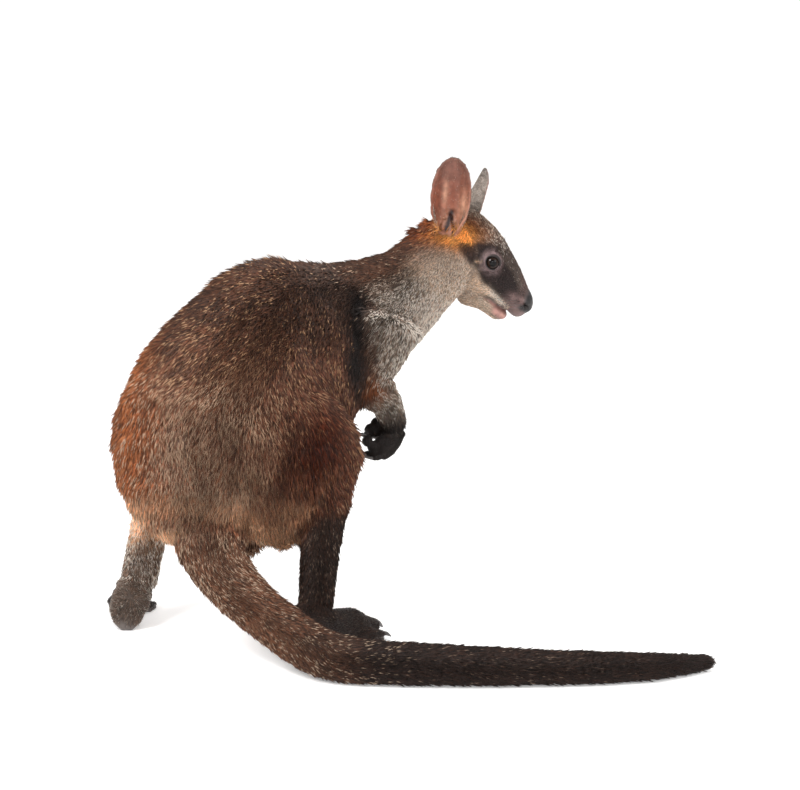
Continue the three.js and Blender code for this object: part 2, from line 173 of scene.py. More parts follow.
# The ground colour of each part's coat, and the colour of its pale tips.
GROUND = {
    "trunk": (FLANK, WARM_TICK),
    "thigh": (FLANK, WARM_TICK),
    "neck": (GREY, PALE_TICK),
    "upper_arm": (GREY, PALE_TICK),
    "forearm": (GREY, PALE_TICK),
    "hand": (SOOT, DULL_TICK),
    "shank": (LEG, DULL_TICK),
    "foot": (LEG, DULL_TICK),
    "tail_root": (TAIL, RUMP_TICK),
    "tail_bend": (TAIL, RUMP_TICK),
    "tail_middle": (TAIL, DULL_TICK),
    "tail_tip": (TAIL, DULL_TICK),
    "head": (GREY, PALE_TICK),
    "lower_jaw": (CHEEK, PALE_TICK),
    "ear": (GREY, PALE_TICK),
}


def linear(code):
    """An sRGB hex value as a linear colour."""
    channels = [((code >> shift) & 255) / 255 for shift in (16, 8, 0)]
    return [c / 12.92 if c <= 0.04045 else ((c + 0.055) / 1.055) ** 2.4 for c in channels]


def rgba(code):
    """The same with an alpha of 1, as a node's socket takes it."""
    return (*linear(code), 1.0)


# ----------------------------------------------------------------------------------------------------
# Small tools for meshes, as arrays


def table_of(mesh):
    """The vertices, edges and normals of a mesh, as arrays."""
    points = np.empty(len(mesh.vertices) * 3, np.float32)
    mesh.vertices.foreach_get("co", points)
    edges = np.empty(len(mesh.edges) * 2, np.int32)
    mesh.edges.foreach_get("vertices", edges)
    normals = np.empty(len(mesh.vertices) * 3, np.float32)
    mesh.vertex_normals.foreach_get("vector", normals)
    return points.reshape(-1, 3).astype(float), edges.reshape(-1, 2), normals.reshape(-1, 3).astype(float)


def put_back(mesh, points):
    """Moves a mesh's vertices to these points."""
    mesh.vertices.foreach_set("co", points.astype(np.float32).ravel())
    mesh.update()


def neighbours_mean(values, edges):
    """At each vertex, the mean of its neighbours' values."""
    values = values.reshape(len(values), -1)
    count = np.bincount(edges.ravel(), minlength=len(values))
    total = np.empty_like(values)
    for k in range(values.shape[1]):
        column = values[:, k]
        total[:, k] = np.bincount(edges[:, 0], column[edges[:, 1]], len(values))
        total[:, k] += np.bincount(edges[:, 1], column[edges[:, 0]], len(values))
    return total / np.maximum(count, 1)[:, None]


def spread(values, edges, rounds):
    """Evens values out over the surface."""
    shape = values.shape
    values = values.reshape(len(values), -1).astype(float)
    for _ in range(rounds):
        values = (values + neighbours_mean(values, edges)) / 2
    return values.reshape(shape)


def smooth(points, edges, share, rounds):
    """Irons out facets without shrinking the form. Share is how far each vertex takes part."""
    for _ in range(rounds):
        for step in (0.5, -0.52):
            points = points + (neighbours_mean(points, edges) - points) * (share * step)[:, None]
    return points


def ease(low, high, value):
    """0 below low, 1 above high, and smooth between them."""
    t = np.clip((value - low) / (high - low), 0, 1)
    return t * t * (3 - 2 * t)


def bell(offsets, radii):
    """A soft round weight: 1 at the middle, near 0 at twice the radii."""
    return np.exp(-((offsets / np.asarray(radii)) ** 2).sum(-1))


def waves(points, length, seed):
    """A slow random field of vectors over the body, between about -1 and 1. Length is in metres."""
    rng = np.random.default_rng(seed)
    field = np.zeros((len(points), 3))
    for _ in range(7):
        turn = rng.normal(size=(3, 3))
        turn *= 2 * math.pi / length / np.linalg.norm(turn, axis=0)
        field += np.sin(points @ turn + rng.uniform(0, 2 * math.pi, 3))
    return field / 3


def new_mesh(name, points, faces):
    """A mesh of these points and faces."""
    mesh = bpy.data.meshes.new(name)
    mesh.from_pydata([tuple(p) for p in points], [], faces)
    mesh.update()
    return mesh


def new_object(name, mesh):
    """A piece of the scene with this mesh."""
    piece = bpy.data.objects.new(name, mesh)
    bpy.context.scene.collection.objects.link(piece)
    return piece


def finished(piece):
    """Applies a piece's modifiers to its mesh."""
    graph = bpy.context.evaluated_depsgraph_get()
    made = bpy.data.meshes.new_from_object(piece.evaluated_get(graph))
    piece.modifiers.clear()
    old = piece.data
    piece.data = made
    bpy.data.meshes.remove(old)
    return piece


def merged_node(node):
    """A CAD node's mesh with its loose triangles joined up."""
    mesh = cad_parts[node].data
    work = bmesh.new()
    work.from_mesh(mesh)
    bmesh.ops.remove_doubles(work, verts=work.verts, dist=0.01 * MM)
    work.normal_update()
    return work


def store(mesh, name, values, kind="FLOAT"):
    """Keeps one value at each vertex under a name."""
    attribute = mesh.attributes.new(name, kind, "POINT")
    key = {"FLOAT": "value", "FLOAT_VECTOR": "vector", "FLOAT_COLOR": "color"}[kind]
    if kind == "FLOAT_COLOR":
        values = np.column_stack([values, np.ones(len(values))])
    attribute.data.foreach_set(key, np.ascontiguousarray(values, np.float32).ravel())


# ----------------------------------------------------------------------------------------------------
# The skin: the flesh nodes as one body, ironed smooth, set in by the coat's depth and modelled

FLESH = sorted(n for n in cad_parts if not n.startswith(("eye", "claw")))


def part_of(node):
    """The row of the coat's table that a node takes."""
    for part in COAT:
        if node == part or node in (f"{part}_right", f"{part}_left"):
            return part


# Balls of flesh, each a centre and a radius in millimetres: at the ankles, in the palms, at the elbow, on
# the nape behind the near ear and in the groin.
FILLINGS = [
    ((-91, -118, 46), 23),
    ((-92, -128, 34), 23),
    ((-301, 20, 46), 23),
    ((-304, 8, 34), 23),
    ((-15, 70, 207), 9),
    ((-24, 67, 204), 8),
    ((-20, 136, 220), 9),
    ((-28, 131, 214), 8),
    ((-31, 60, 212), 7),
    ((-6, 60, 281), 9),
    ((42, 168, 456), 9),
    ((31, 170, 447), 9),
    ((-163, -38, 113), 13),
]
# In the head's frame, in the angle of the throat and along the closed part of the mouth.
HEAD_FILLINGS = [
    ((-12, 10, -33), 13),
    ((-12, -10, -33), 13),
    ((4, 0, -34), 10),
    ((20, 0, -37), 8.5),
    ((28, 0, -36), 8),
    ((36, 0, -35.5), 7.5),
    ((44, 0, -35), 6.5),
]
# At the foot of each ear: the share of its length, how far before it, and the radius.
EAR_FILLINGS = [(0.05, 12, 8.5), (0.14, 9.5, 8), (0.22, 7.5, 6)]


class Body:
    """The solids of the flesh, to ask which of them is nearest to a point of the skin."""

    def __init__(self):
        corners, faces, self.owner = [], [], []
        for number, node in enumerate(FLESH):
            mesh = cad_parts[node].data
            first = len(corners)
            corners += [v.co.copy() for v in mesh.vertices]
            faces += [[first + i for i in p.vertices] for p in mesh.polygons]
            self.owner += [number] * len(mesh.polygons)
        self.tree = BVHTree.FromPolygons(corners, faces)

    def nodes_at(self, points):
        return np.array([self.owner[self.tree.find_nearest(Vector(p))[2]] for p in points])


def coat_size(points, nodes, column):
    """A measure of the coat at each vertex. Behind the cheeks the neck's passes into the head's."""
    size = np.array([COAT[part_of(n)][column] for n in FLESH], float)[nodes]
    share = by_the_head(points) * (nodes == FLESH.index("neck"))
    return size + (COAT["head"][column] - size) * share


def by_the_head(points):
    """How near each vertex is to the back of the head: 0 down the neck and 1 at the cheeks."""
    h = to_head(points)
    return ease(-82, -45, h[:, 0]) * ease(-80, -52, h[:, 2])


def cast_body(name, grain, nodes, fillings=(), core=None):
    """Nodes, balls of filling and a core as one closed body, with the cuts between the nodes filled."""
    joined = bmesh.new()
    if core:
        joined.from_mesh(core)
    for node in nodes:
        work = merged_node(node)
        for v in work.verts:
            v.co += v.normal * OVERLAP * MM
        mesh = bpy.data.meshes.new("flesh")
        work.to_mesh(mesh)
        work.free()
        joined.from_mesh(mesh)
        bpy.data.meshes.remove(mesh)
    for at, radius in fillings:
        place = Matrix.Translation(Vector(at) * MM)
        bmesh.ops.create_icosphere(joined, subdivisions=3, radius=radius * MM, matrix=place)
    mesh = bpy.data.meshes.new(name)
    joined.to_mesh(mesh)
    joined.free()
    piece = new_object(name, mesh)
    cast = piece.modifiers.new("cast", "REMESH")
    cast.mode = "VOXEL"
    cast.voxel_size = grain
    cast.use_smooth_shade = True
    return finished(piece)


def rough_flesh():
    """The big forms cast coarsely and ironed round, then cast again with the head, ears, hands and feet."""
    fine = [n for n in FLESH if n.startswith(("head", "lower_jaw", "ear", "hand", "foot"))]
    core = cast_body("core", CORE_VOXEL, [n for n in FLESH if n not in fine])
    points, edges, _ = table_of(core.data)
    put_back(core.data, smooth(points, edges, np.ones(len(points)), 45))
    in_head = [(from_head(at) / MM, radius) for at, radius in HEAD_FILLINGS]
    for side in SIDES:
        foot, tip = np.array(EARS[side], float)
        for share, before, radius in EAR_FILLINGS:
            in_head.append((foot + (tip - foot) * share + before * np.array(EAR_FACES[side]), radius))
    skin = cast_body("skin", VOXEL, fine, FILLINGS + in_head, core.data)
    bpy.data.objects.remove(core)
    return skin


def push(points, normals, at, radii, amount):
    """Raises (or with a minus, sinks) the head's surface softly round a place of its own frame, and round
    that place's mirror image."""
    local = to_head(points)
    for side in (1, -1):
        weight = bell(local - np.array(at) * (1, side, 1), radii)
        points = points + normals * (weight * amount * MM)[:, None]
    return points


def eye_frame(side):
    """The centre of an eye, and its axes: out of the eye, forwards and up. In metres."""
    sign = 1 if side == "left" else -1
    centre = from_head([0, sign * EYE_SPACING / 2, 0])
    out = (np.array(EYE_LOOKS) * (1, sign, 1)) @ HEAD_AXES
    out /= np.linalg.norm(out)
    ahead = np.array(MUZZLE) - out * np.dot(MUZZLE, out)
    ahead /= np.linalg.norm(ahead)
    above = np.cross(out, ahead)
    return centre, out, ahead, above * (1 if np.dot(above, BROW) > 0 else -1)


def set_eye(points, side):
    """Opens a socket for an eye, and brings the skin round it down on to the ball."""
    centre, out, _, _ = eye_frame(side)
    offset = points - centre
    far = np.linalg.norm(offset, axis=1) / MM
    near = far < 20
    angle = np.degrees(np.arccos(np.clip(offset[near] @ out / far[near] / MM, -1, 1)))
    inside = EYE_RADIUS - 2.5
    on_ball = EYE_RADIUS + 0.9 + 2.2 * ease(66, 88, angle)
    wanted = np.where(angle < LID_OPENING + 4, inside, on_ball)
    hold = np.where(angle < LID_OPENING + 4, 1, 1 - ease(70, 94, angle)) * (angle < 96)
    radius = far[near] + (wanted - far[near]) * hold
    points = points.copy()
    points[near] = centre + offset[near] * (radius / far[near])[:, None]
    return points


def model_head(points, normals):
    """The forms of the face: brows, cheeks, whisker pads, nostrils and the line of the mouth."""
    forms = [
        ((-4, 26, 15), (12, 10, 6), 2.6),  # brow
        ((4, 29, -15), (10, 8, 5), 1.0),  # fold under the eye
        ((6, 30, -32), (16, 10, 11), 1.8),  # cheek
        ((24, 20, -3), (10, 7, 6), -1.6),  # hollow before the eye
        ((-12.2, 33, -11.4), (2.2, 6, 2.2), 1.1),  # cheek wart
        ((50, 15, -19), (14, 8, 8), 3.4),  # whisker pad
        ((60, 0, -25), (10, 12, 6), 2.6),  # fullness of the upper lip
        ((70, 0, -12), (6, 10, 9), 2.2),  # blunt end of the nose
        ((58, 0, -1), (9, 9, 6), 1.0),  # bridge of the nose
        ((65, 9.5, -6.5), (5, 5, 3.6), 2.2),  # wing of the nostril
        ((68, 9, -12.5), (2.3, 3.5, 2.0), -6.0),  # nostril
        ((64, 11.5, -11.5), (3.0, 3.0, 1.2), -3.6),  # its slit
        ((60, 12, -12), (1.8, 5, 6), -1.0),  # back edge of the nose pad
        ((71, 0, -20), (8, 1.1, 6), -1.4),  # groove under the nose
        ((20, 22, -37), (6, 9, 1.5), -2.4),  # corner of the mouth
        ((34, 18, -34.5), (12, 9, 1.2), -2.2),  # line of the closed lips
        ((10, 26, -36), (5, 8, 1.3), -1.4),  # and the fold behind it
        ((46, 0, -46), (14, 14, 8), 2.0),  # chin
    ]
    for at, radii, amount in forms:
        points = push(points, normals, at, radii, amount)
    for side in SIDES:
        points = set_eye(points, side)
    return points


def ear_place(points, side):
    """Where points lie on an ear: their share of its length, and millimetres across it towards its front."""
    foot, tip = (np.array(end, float) for end in EARS[side])
    length = np.linalg.norm(tip - foot)
    axis = (tip - foot) / length
    across = np.cross(axis, EAR_FACES[side]) * (1 if side == "right" else -1)
    offset = points / MM - foot
    return offset @ axis / length, offset @ across


def ear_inside(points, normals, nodes, side):
    """Where an ear's hollow faces, with the flesh that fills its foot."""
    share, across = ear_place(points, side)
    front = (points / MM - EARS[side][0]) @ np.array(EAR_FACES[side])
    plug = (share > 0.04) & (share < 0.3) & (np.abs(across) < 8) & (front > 5) & (front < 24)
    at = (nodes == FLESH.index(f"ear_{side}")) | plug
    return at * ease(0.1, 0.35, normals @ np.array(EAR_FACES[side]))


def ear_slit(share, across):
    """The slit that leads down into the ear, with a thin branch in front of it."""
    main = bell((across - np.interp(share, (0.09, 0.33), (-2.0, 2.5)))[:, None], 3.0)
    branch = bell((across - np.interp(share, (0.09, 0.26), (6.5, 3.5)))[:, None], 1.1)
    return main * ease(0.05, 0.1, share) * ease(0.37, 0.3, share) + branch * ease(0.28, 0.22, share)


def model_ears(points, normals, nodes):
    """The slit at the foot of each ear's hollow, the ridges beside it and the soft ribs above."""
    raised = np.zeros(len(points))
    for side in SIDES:
        share, across = ear_place(points, side)
        low = ease(0.42, 0.3, share)
        form = -1.6 * ear_slit(share, across)
        form += low * (1.5 * bell((across + 6)[:, None], 2.2) + 1.2 * bell((across - 9)[:, None], 2.0))
        form += 0.5 * np.cos((across + 6.5) * 0.6) * ease(0.3, 0.45, share) * ease(0.95, 0.7, share)
        raised += form * ear_inside(points, normals, nodes, side)
    return points + normals * raised[:, None] * MM


def fair_joins(points, edges, nodes):
    """Evens out the steps where the neck meets the head and the arms, where the feet meet the legs, in the
    angle of the throat and at the ears' feet."""
    group = {"head": 1, "lower_jaw": 1, "neck": 2, "foot": 3, "shank": 4, "upper_arm": 5}
    groups = np.array([group.get(part_of(n), 0) for n in FLESH])[nodes]
    a, b = groups[edges[:, 0]], groups[edges[:, 1]]
    step = edges[(a != b) & (np.minimum(a, b) > 0)]
    near = np.zeros(len(points))
    near[step.ravel()] = 1
    near = spread(near, edges, 100)
    ears = sum(on_part(nodes, f"ear_{side}", edges, 8) for side in SIDES)
    throat = bell(to_head(points) - (6, 0, -58), (24, 36, 18))
    near = np.maximum(ease(0, 0.45, near / near.max()), ease(0.1, 0.6, throat)) * (1 - ease(0.05, 0.4, ears))
    points = points + (spread(points, edges, 110) - points) * near[:, None]
    for side in SIDES:
        share, _ = ear_place(points, side)
        far = np.linalg.norm(points / MM - EARS[side][0] - 6 * np.array(EAR_FACES[side]), axis=1)
        low = ease(30, 20, far) * ease(0.26, 0.14, share)
        points = points + (spread(points, edges, 26) - points) * low[:, None]
    return points


def refine(mesh, wanted):
    """Cuts the edges between wanted vertices in two."""
    work = bmesh.new()
    work.from_mesh(mesh)
    cut = [e for e in work.edges if wanted[e.verts[0].index] and wanted[e.verts[1].index]]
    bmesh.ops.subdivide_edges(work, edges=cut, cuts=1, use_grid_fill=True)
    work.to_mesh(mesh)
    work.free()


def refine_face(mesh):
    """A finer grain for the muzzle and round the eyes, and a finer one yet for the nose and the lids."""
    for muzzle, eye in ((12, 19), (50, 14)):
        points, _, _ = table_of(mesh)
        h = to_head(points)
        wanted = (h[:, 0] > muzzle) & (h[:, 2] > -60)
        for side in SIDES:
            wanted |= np.linalg.norm(points - eye_frame(side)[0], axis=1) < eye * MM
        refine(mesh, wanted)
        points, edges, _ = table_of(mesh)
        h = to_head(points)
        put_back(mesh, smooth(points, edges, ease(muzzle - 16, muzzle, h[:, 0]) * (h[:, 2] > -60), 3))


def make_skin(body):
    """The flesh smoothed, set in by the coat's depth except at the soles, modelled and thinned out."""
    skin = rough_flesh()
    points, edges, normals = table_of(skin.data)
    nodes = body.nodes_at(points)
    fine = {"ear": 0.45, "hand": 0.15, "foot": 0.3, "lower_jaw": 0.15, "head": 0.5}
    share = np.array([fine.get(part_of(n), 1.0) for n in FLESH])[nodes]
    local = to_head(points)
    at_mouth = bell(local - (48, 0, -34), (26, 60, 9))
    share = spread(share * (1 - at_mouth), edges, 8)
    points = smooth(points, edges, share, 30)
    points = smooth(points, edges, np.full(len(points), 0.9), 3)
    points = fair_joins(points, edges, nodes)
    put_back(skin.data, points)
    points, edges, normals = table_of(skin.data)
    depth = coat_size(points, nodes, 0)
    local = to_head(points)
    face = ease(-75, -30, local[:, 0]) * bell(local - (0, 0, -10), (95, 70, 70))
    depth = depth * (1 - face * ease(10, 50, local[:, 0]))
    stood_on = ease(10 * MM, 3 * MM, points[:, 2]) * ease(-0.2, -0.7, normals[:, 2])
    footed = np.array([n.startswith("foot") for n in FLESH])[nodes]
    depth = spread(depth, edges, 40) * (1 - stood_on * footed)
    points = points - spread(normals, edges, 6) * depth[:, None] * MM
    put_back(skin.data, points)
    refine_face(skin.data)
    points, edges, normals = table_of(skin.data)
    nodes = body.nodes_at(points)
    points = model_head(points, normals)
    points = model_ears(points, spread(normals, edges, 3), nodes)
    put_back(skin.data, points)
    thin = skin.modifiers.new("thin", "DECIMATE")
    thin.ratio = SKIN_TRIANGLES / (2 * len(skin.data.polygons))
    return finished(skin)


# ----------------------------------------------------------------------------------------------------
# The markings and the lie of the coat, kept at every vertex of the skin


def paint(colour, weight, code):
    """Lays a colour over the others, as thick as its weight."""
    return colour + (np.array(linear(code)) - colour) * np.clip(weight, 0, 1)[:, None]


def blended(values, points, edges):
    """Lets the values of neighbouring parts run into each other: far on the body, and little at the head."""
    near = spread(values, edges, 25)
    share = ease(-110, -70, to_head(points)[:, 0])
    share = share.reshape(-1, *[1] * (values.ndim - 1))
    return near * share + spread(near, edges, 260) * (1 - share)


def markings(points, normals, nodes, edges):
    """At each vertex: the coat's colour, its pale tips' colour, and the share of its tufts that have one."""
    colour, tips = (
        blended(np.array([linear(GROUND[part_of(n)][k]) for n in FLESH])[nodes], points, edges)
        for k in (0, 1)
    )
    coat = colour, tips, blended(coat_size(points, nodes, 4), points, edges)
    patchy = waves(points, 0.06, 3)
    blur = waves(points, 0.025, 4)
    x, y, z = points.T / MM
    place = np.column_stack([x + 9 * patchy[:, 1], y, z + 9 * patchy[:, 0]])
    coat = body_markings(place, normals, nodes, edges, *coat)
    # painted shade in the creases behind the shoulders
    coat = painted_crease_shade(points, *coat)
    coat = limb_markings(points, place, normals, nodes, edges, *coat)
    colour, tips, tick = head_markings(points, nodes, edges, blur, *coat)
    return colour * (1 + 0.10 * patchy[:, 2:3] + 0.08 * blur[:, 1:2]), tips, tick


def body_markings(place, normals, nodes, edges, colour, tips, tick):
    """Dark back and shoulders, grizzled rump, rufous edges and russet thigh, with a pale belly."""
    x, y, z = place.T
    on_body = [n in ("trunk", "thigh_left", "thigh_right") for n in FLESH]
    on_body = spread(np.array(on_body, float)[nodes], edges, 12)
    for code, weight, ticks in (
        (DORSAL, ease(290, 360, z) * 0.9, 0.55),
        (RUMP, bell(place - (-205, -110, 195), (75, 70, 85)) * 0.9, 1.9),
        (RUMP, bell(place - (-185, -100, 290), (60, 80, 60)) * 0.6, 1.6),
        (RUFOUS, ease(-232, -300, x) * ease(390, 330, z), 0.5),
        (RUSSET, bell(place - (-82, -80, 225), (48, 90, 80)) * 1.1, 0.3),
        (RUFOUS, bell(place - (-118, -90, 138), (60, 90, 24)) * 0.7, 0.6),
        (TAN, ease(0.0, -0.8, normals[:, 2]) * ease(240, 140, z), 0.6),
        (LEG, bell(place - (-72, -70, 118), (34, 70, 34)) * 1.2, 1.0),
        (SHOULDER, bell(place - (-75, 75, 385), (50, 60, 45)) * 0.9, 0.5),
        (SHOULDER, bell(place - (-60, 150, 375), (50, 60, 45)) * 0.7, 0.5),
    ):
        weight = np.clip(on_body * weight, 0, 1)
        colour = paint(colour, weight, code)
        tick = tick * (1 + (ticks - 1) * weight)
        if code in (RUMP, RUFOUS):
            tips = paint(tips, weight * ease(335, 290, z), RUMP_TICK)
        if code == RUSSET:
            tips = paint(tips, weight * 0.8, RUFOUS)
    return colour, tips, tick


# Places of painted shade in the creases behind the shoulders, in millimetres: four down the near one and two
# down the far one.
SHOULDER_CREASES = (
    (-37, 62, 375), (-40, 45, 340), (-44, 30, 308), (-36, 42, 284),
    (-104, 160, 330), (-96, 150, 290),
)


def painted_crease_shade(points, colour, tips, tick):
    """Painted shade in the creases behind the shoulders: near-black coat there, with its pale tips taken
    away.
    """
    for at in SHOULDER_CREASES:
        crease_shade = bell(points / MM - at, (13, 26, 30))
        # painted shade: the crease darkened to soot black, with fewer pale tips
        colour = paint(colour, crease_shade * 1.1, SOOT)
        tick = tick * (1 - 0.9 * crease_shade)
    return colour, tips, tick


def limb_markings(points, place, normals, nodes, edges, colour, tips, tick):
    """Brown nape, pale chest, rusty elbows, sooty wrists and hands, a tail that darkens towards its tip,
    and a left leg that is grizzled at the back."""
    x, y, z = place.T
    neck = on_part(nodes, "neck", edges)
    nape = neck * ease(0.3, 0.75, normals[:, 2]) * ease(350, 395, z)
    colour = paint(colour, nape * 0.95, DORSAL)
    tips = paint(tips, nape * 0.8, WARM_TICK)
    tick = tick * (1 - 0.8 * nape)
    chest = neck * ease(0.0, -0.6, normals[:, 2] - 0.4 * normals[:, 0])
    colour = paint(colour, chest * 0.8, CHEST)
    for elbow in ((-20, 46, 278), (-62, 185, 276)):
        colour = paint(colour, bell(points / MM - elbow, (13, 14, 16)) * 0.9, RUFOUS)
    wrist = on_part(nodes, "forearm", edges, 5) * ease(258, 222, z)
    colour = paint(colour, wrist, SOOT)
    tick = tick * (1 - 0.8 * wrist)
    colour = paint(colour, on_part(nodes, "hand", edges, 5), SOOT)
    tail = on_part(nodes, "tail", edges, 20) * ease(-10, -150, x)
    colour = paint(colour, tail * 0.8, RUMP)
    left_leg = np.maximum(on_part(nodes, "shank_left", edges, 20), on_part(nodes, "foot_left", edges, 10))
    rear = left_leg * np.maximum(ease(30, 8, y), ease(40, 56, z)) * ease(-235, -260, x)
    colour = paint(colour, rear * 0.85, LEG_BACK)
    colour = paint(colour, rear * ease(88, 118, z), TAN)
    tips = paint(tips, left_leg, PALE_TICK)
    tick = tick * (1 + 1.8 * rear)
    groin = bell(points / MM - (-162, -40, 108), (32, 36, 26))
    colour = paint(colour, groin, FLANK)
    left_knee = bell(points / MM - (-285, 40, 140), (36, 60, 32))
    colour = paint(colour, left_knee * 0.9, TAN)
    return colour, tips, tick


def head_markings(points, nodes, edges, blur, colour, tips, tick):
    """Rufous round the ears with painted shade and a painted lit patch, a dark mask from the ears past the
    eyes to the nose, and pale cheeks.
    """
    h = to_head(points)
    h[:, 2] += 1.6 * blur[:, 0]
    h[:, 0] += 1.6 * blur[:, 1]
    head = on_part(nodes, "head", edges, 4)
    neck = on_part(nodes, "neck", edges, 4)
    near_head = np.maximum(head, neck * by_the_head(points))
    aside = np.abs(h[:, 1])
    flat = h[:, [0, 2]]
    cheek = near_head * ease(-8, -18, h[:, 2]) * ease(60, 30, h[:, 0])
    colour = paint(colour, cheek * 0.75, CHEEK)
    bridge = head * ease(-2, 12, h[:, 0]) * ease(2, 8, h[:, 2])
    colour = paint(colour, bridge * 0.8, BRIDGE)
    tick = tick * (1 - 0.7 * bridge)
    crown = head * ease(-30, -5, h[:, 0]) * ease(8, 16, h[:, 2])
    colour = paint(colour, crown * 0.85, BRIDGE)
    throat = neck * bell(h - (-6, 0, -62), (14, 30, 9))
    colour = paint(colour, throat * 0.9, RUFOUS)
    for side in SIDES:
        foot, out = np.array(EARS[side][0]), np.array((0, -1 if side == "right" else 1, 0))
        ear = on_part(nodes, f"ear_{side}", edges, 2)
        # Round each ear's foot: rufous darkened as painted shade, and a painted patch of light in bright
        # orange before it.
        near = bell(points / MM - foot - (4, 0, 0), (36, 32, 19)) * (1 - ear)
        lit = bell(points / MM - foot - (15, 0, -1) - 15 * out, (21, 18, 13)) * (1 - ear)
        colour = paint(colour, near * 1.7, EAR_SHADE)
        colour = paint(colour, lit * 1.5, EAR_BASE)
        tips = paint(tips, near * 2, EAR_BASE)
        tick = tick * (1 - 0.6 * near)
        share, _ = ear_place(points, side)
        colour = paint(colour, on_part(nodes, f"ear_{side}", edges, 1) * ease(0.75, 0.95, share) * 0.8, SOOT)
        colour = paint(colour, ear * ease(0.24, 0.08, share) * 0.9, EAR_BASE)
    # The mask, by its middle line's height and half its breadth from behind the eye to the nose.
    middle = np.interp(h[:, 0], (-42, -29, -14, -5, 10, 28, 42, 56), (-6, -3, 1, -1, -6, -9, -11, -11))
    half = np.interp(h[:, 0], (-46, -42, -29, -14, -5, 10, 28, 42, 56), (1, 4, 9, 15, 18, 17, 16, 14, 12))
    mask = near_head * ease(1.25, 0.8, np.abs(h[:, 2] - middle) / half) * ease(8, 17, aside)
    colour = paint(colour, mask * (0.8 + 0.25 * ease(-45, -5, h[:, 0])), MASK)
    tick = tick * (1 - 0.92 * mask)
    wart = bell(np.column_stack([h[:, 0], aside, h[:, 2]]) - (-12.2, 33, -11.4), (1.7, 8, 1.7))
    buff = head * bell(flat - (15, -32), (18, 6.5)) * ease(6, 14, aside)
    lip = head * bell(flat - (50, -28.5), (9, 5)) * ease(3, 8, aside)
    stripe = head * bell(flat - (38, -29), (16, 5.2)) * ease(3, 8, aside)
    colour = paint(colour, wart, BUFF)
    colour = paint(colour, buff * 0.9, BUFF)
    colour = paint(colour, lip * 0.8, BUFF)
    colour = paint(colour, stripe * 1.2, PALE_TICK)
    muzzle = ease(38, 52, h[:, 0] + 0.35 * h[:, 2]) * ease(-80, -40, h[:, 2])
    muzzle *= on_part(nodes, "head", edges, 2)
    colour = paint(colour, muzzle * (1 - np.maximum(stripe, 0.8 * lip)) * 0.85, MUZZLE_SKIN)
    tick = tick * (1 - 0.85 * muzzle)
    return colour, tips, tick


def on_part(nodes, start, edges, rounds=12):
    """How far each vertex lies on the nodes whose names start so, with a soft border."""
    return spread(np.array([n.startswith(start) for n in FLESH], float)[nodes], edges, rounds)


def along_line(points, line):
    """The direction of a line of points where it passes nearest to each point."""
    line = np.array(line) * MM
    best = np.full(len(points), np.inf)
    way = np.zeros((len(points), 3))
    for a, b in zip(line[:-1], line[1:]):
        share = np.clip((points - a) @ (b - a) / ((b - a) @ (b - a)), 0, 1)
        far = np.linalg.norm(points - a - share[:, None] * (b - a), axis=1)
        nearer = far < best
        best[nearer] = far[nearer]
        way[nearer] = (b - a) / np.linalg.norm(b - a)
    return way


def lie_of_coat(points, normals, nodes, edges):
    """The way that the hair lies at each vertex, flat on the skin."""
    lie = np.zeros_like(points)
    for number, node in enumerate(FLESH):
        at = nodes == number
        if node in ("head", "lower_jaw"):
            line, fall = [list(from_head(p) / MM) for p in HEAD_LIE], 0.0
        else:
            line, fall = LIE["tail" if node.startswith("tail") else node]
        lie[at] = along_line(points[at], line) + (0, 0, -fall)
    lie += 0.22 * waves(points, 0.09, 5) + 0.13 * waves(points, 0.03, 6)
    for _ in range(12):
        lie = spread(lie, edges, 2)
        lie -= normals * (lie * normals).sum(1)[:, None]
        lie /= np.linalg.norm(lie, axis=1)[:, None] + 1e-9
    return lie


def bareness(points, normals, nodes, edges):
    """Where the skin shows: soles, palms, the nose, the lips, round the eyes and inside the ears."""
    h = to_head(points)
    head = on_part(nodes, "head", edges, 1)
    jaw = on_part(nodes, "lower_jaw", edges, 1)
    nose = head * ease(57, 63, h[:, 0] + 0.35 * np.abs(h[:, 2] + 12))
    lips = head * ease(-28, -31, h[:, 2]) * ease(50, 58, h[:, 0])
    lips = np.maximum(lips, jaw * ease(34, 44, h[:, 0] + 0.3 * h[:, 2] + 12) * ease(-50, -44, h[:, 2]))
    whisker_pad = 0.55 * head * bell(h[:, [0, 2]] - (54, -17), (11, 10))
    mouth = bell(h - (34, 0, -37), (18, 13, 3.4)) * 1.6
    mouth *= ease(20, 12, np.abs(h[:, 1]))
    bare = np.maximum.reduce([nose, lips, whisker_pad, mouth])
    for side in SIDES:
        centre, out, _, _ = eye_frame(side)
        offset = (points - centre) / MM
        ring = ease(13.8, 11.9, np.linalg.norm(offset, axis=1)) * ease(0, 5, offset @ out)
        bare = np.maximum(bare, ring)
        bare = np.maximum(bare, 0.75 * ear_inside(points, normals, nodes, side))
    sole = on_part(nodes, "foot", edges, 1) * ease(9, 5, points[:, 2] / MM) * ease(0.35, -0.1, normals[:, 2])
    for heel in ((-314, -14, 6), (-94, -145, 8)):
        pad = on_part(nodes, "foot", edges, 1) * bell(points / MM - heel, (14, 14, 9))
        sole = np.maximum(sole, pad * 1.3)
    palm = on_part(nodes, "hand", edges, 1) * ease(0.1, 0.5, -normals[:, 0])
    return np.clip(np.maximum(np.maximum(bare, sole), palm * 0.5), 0, 1)


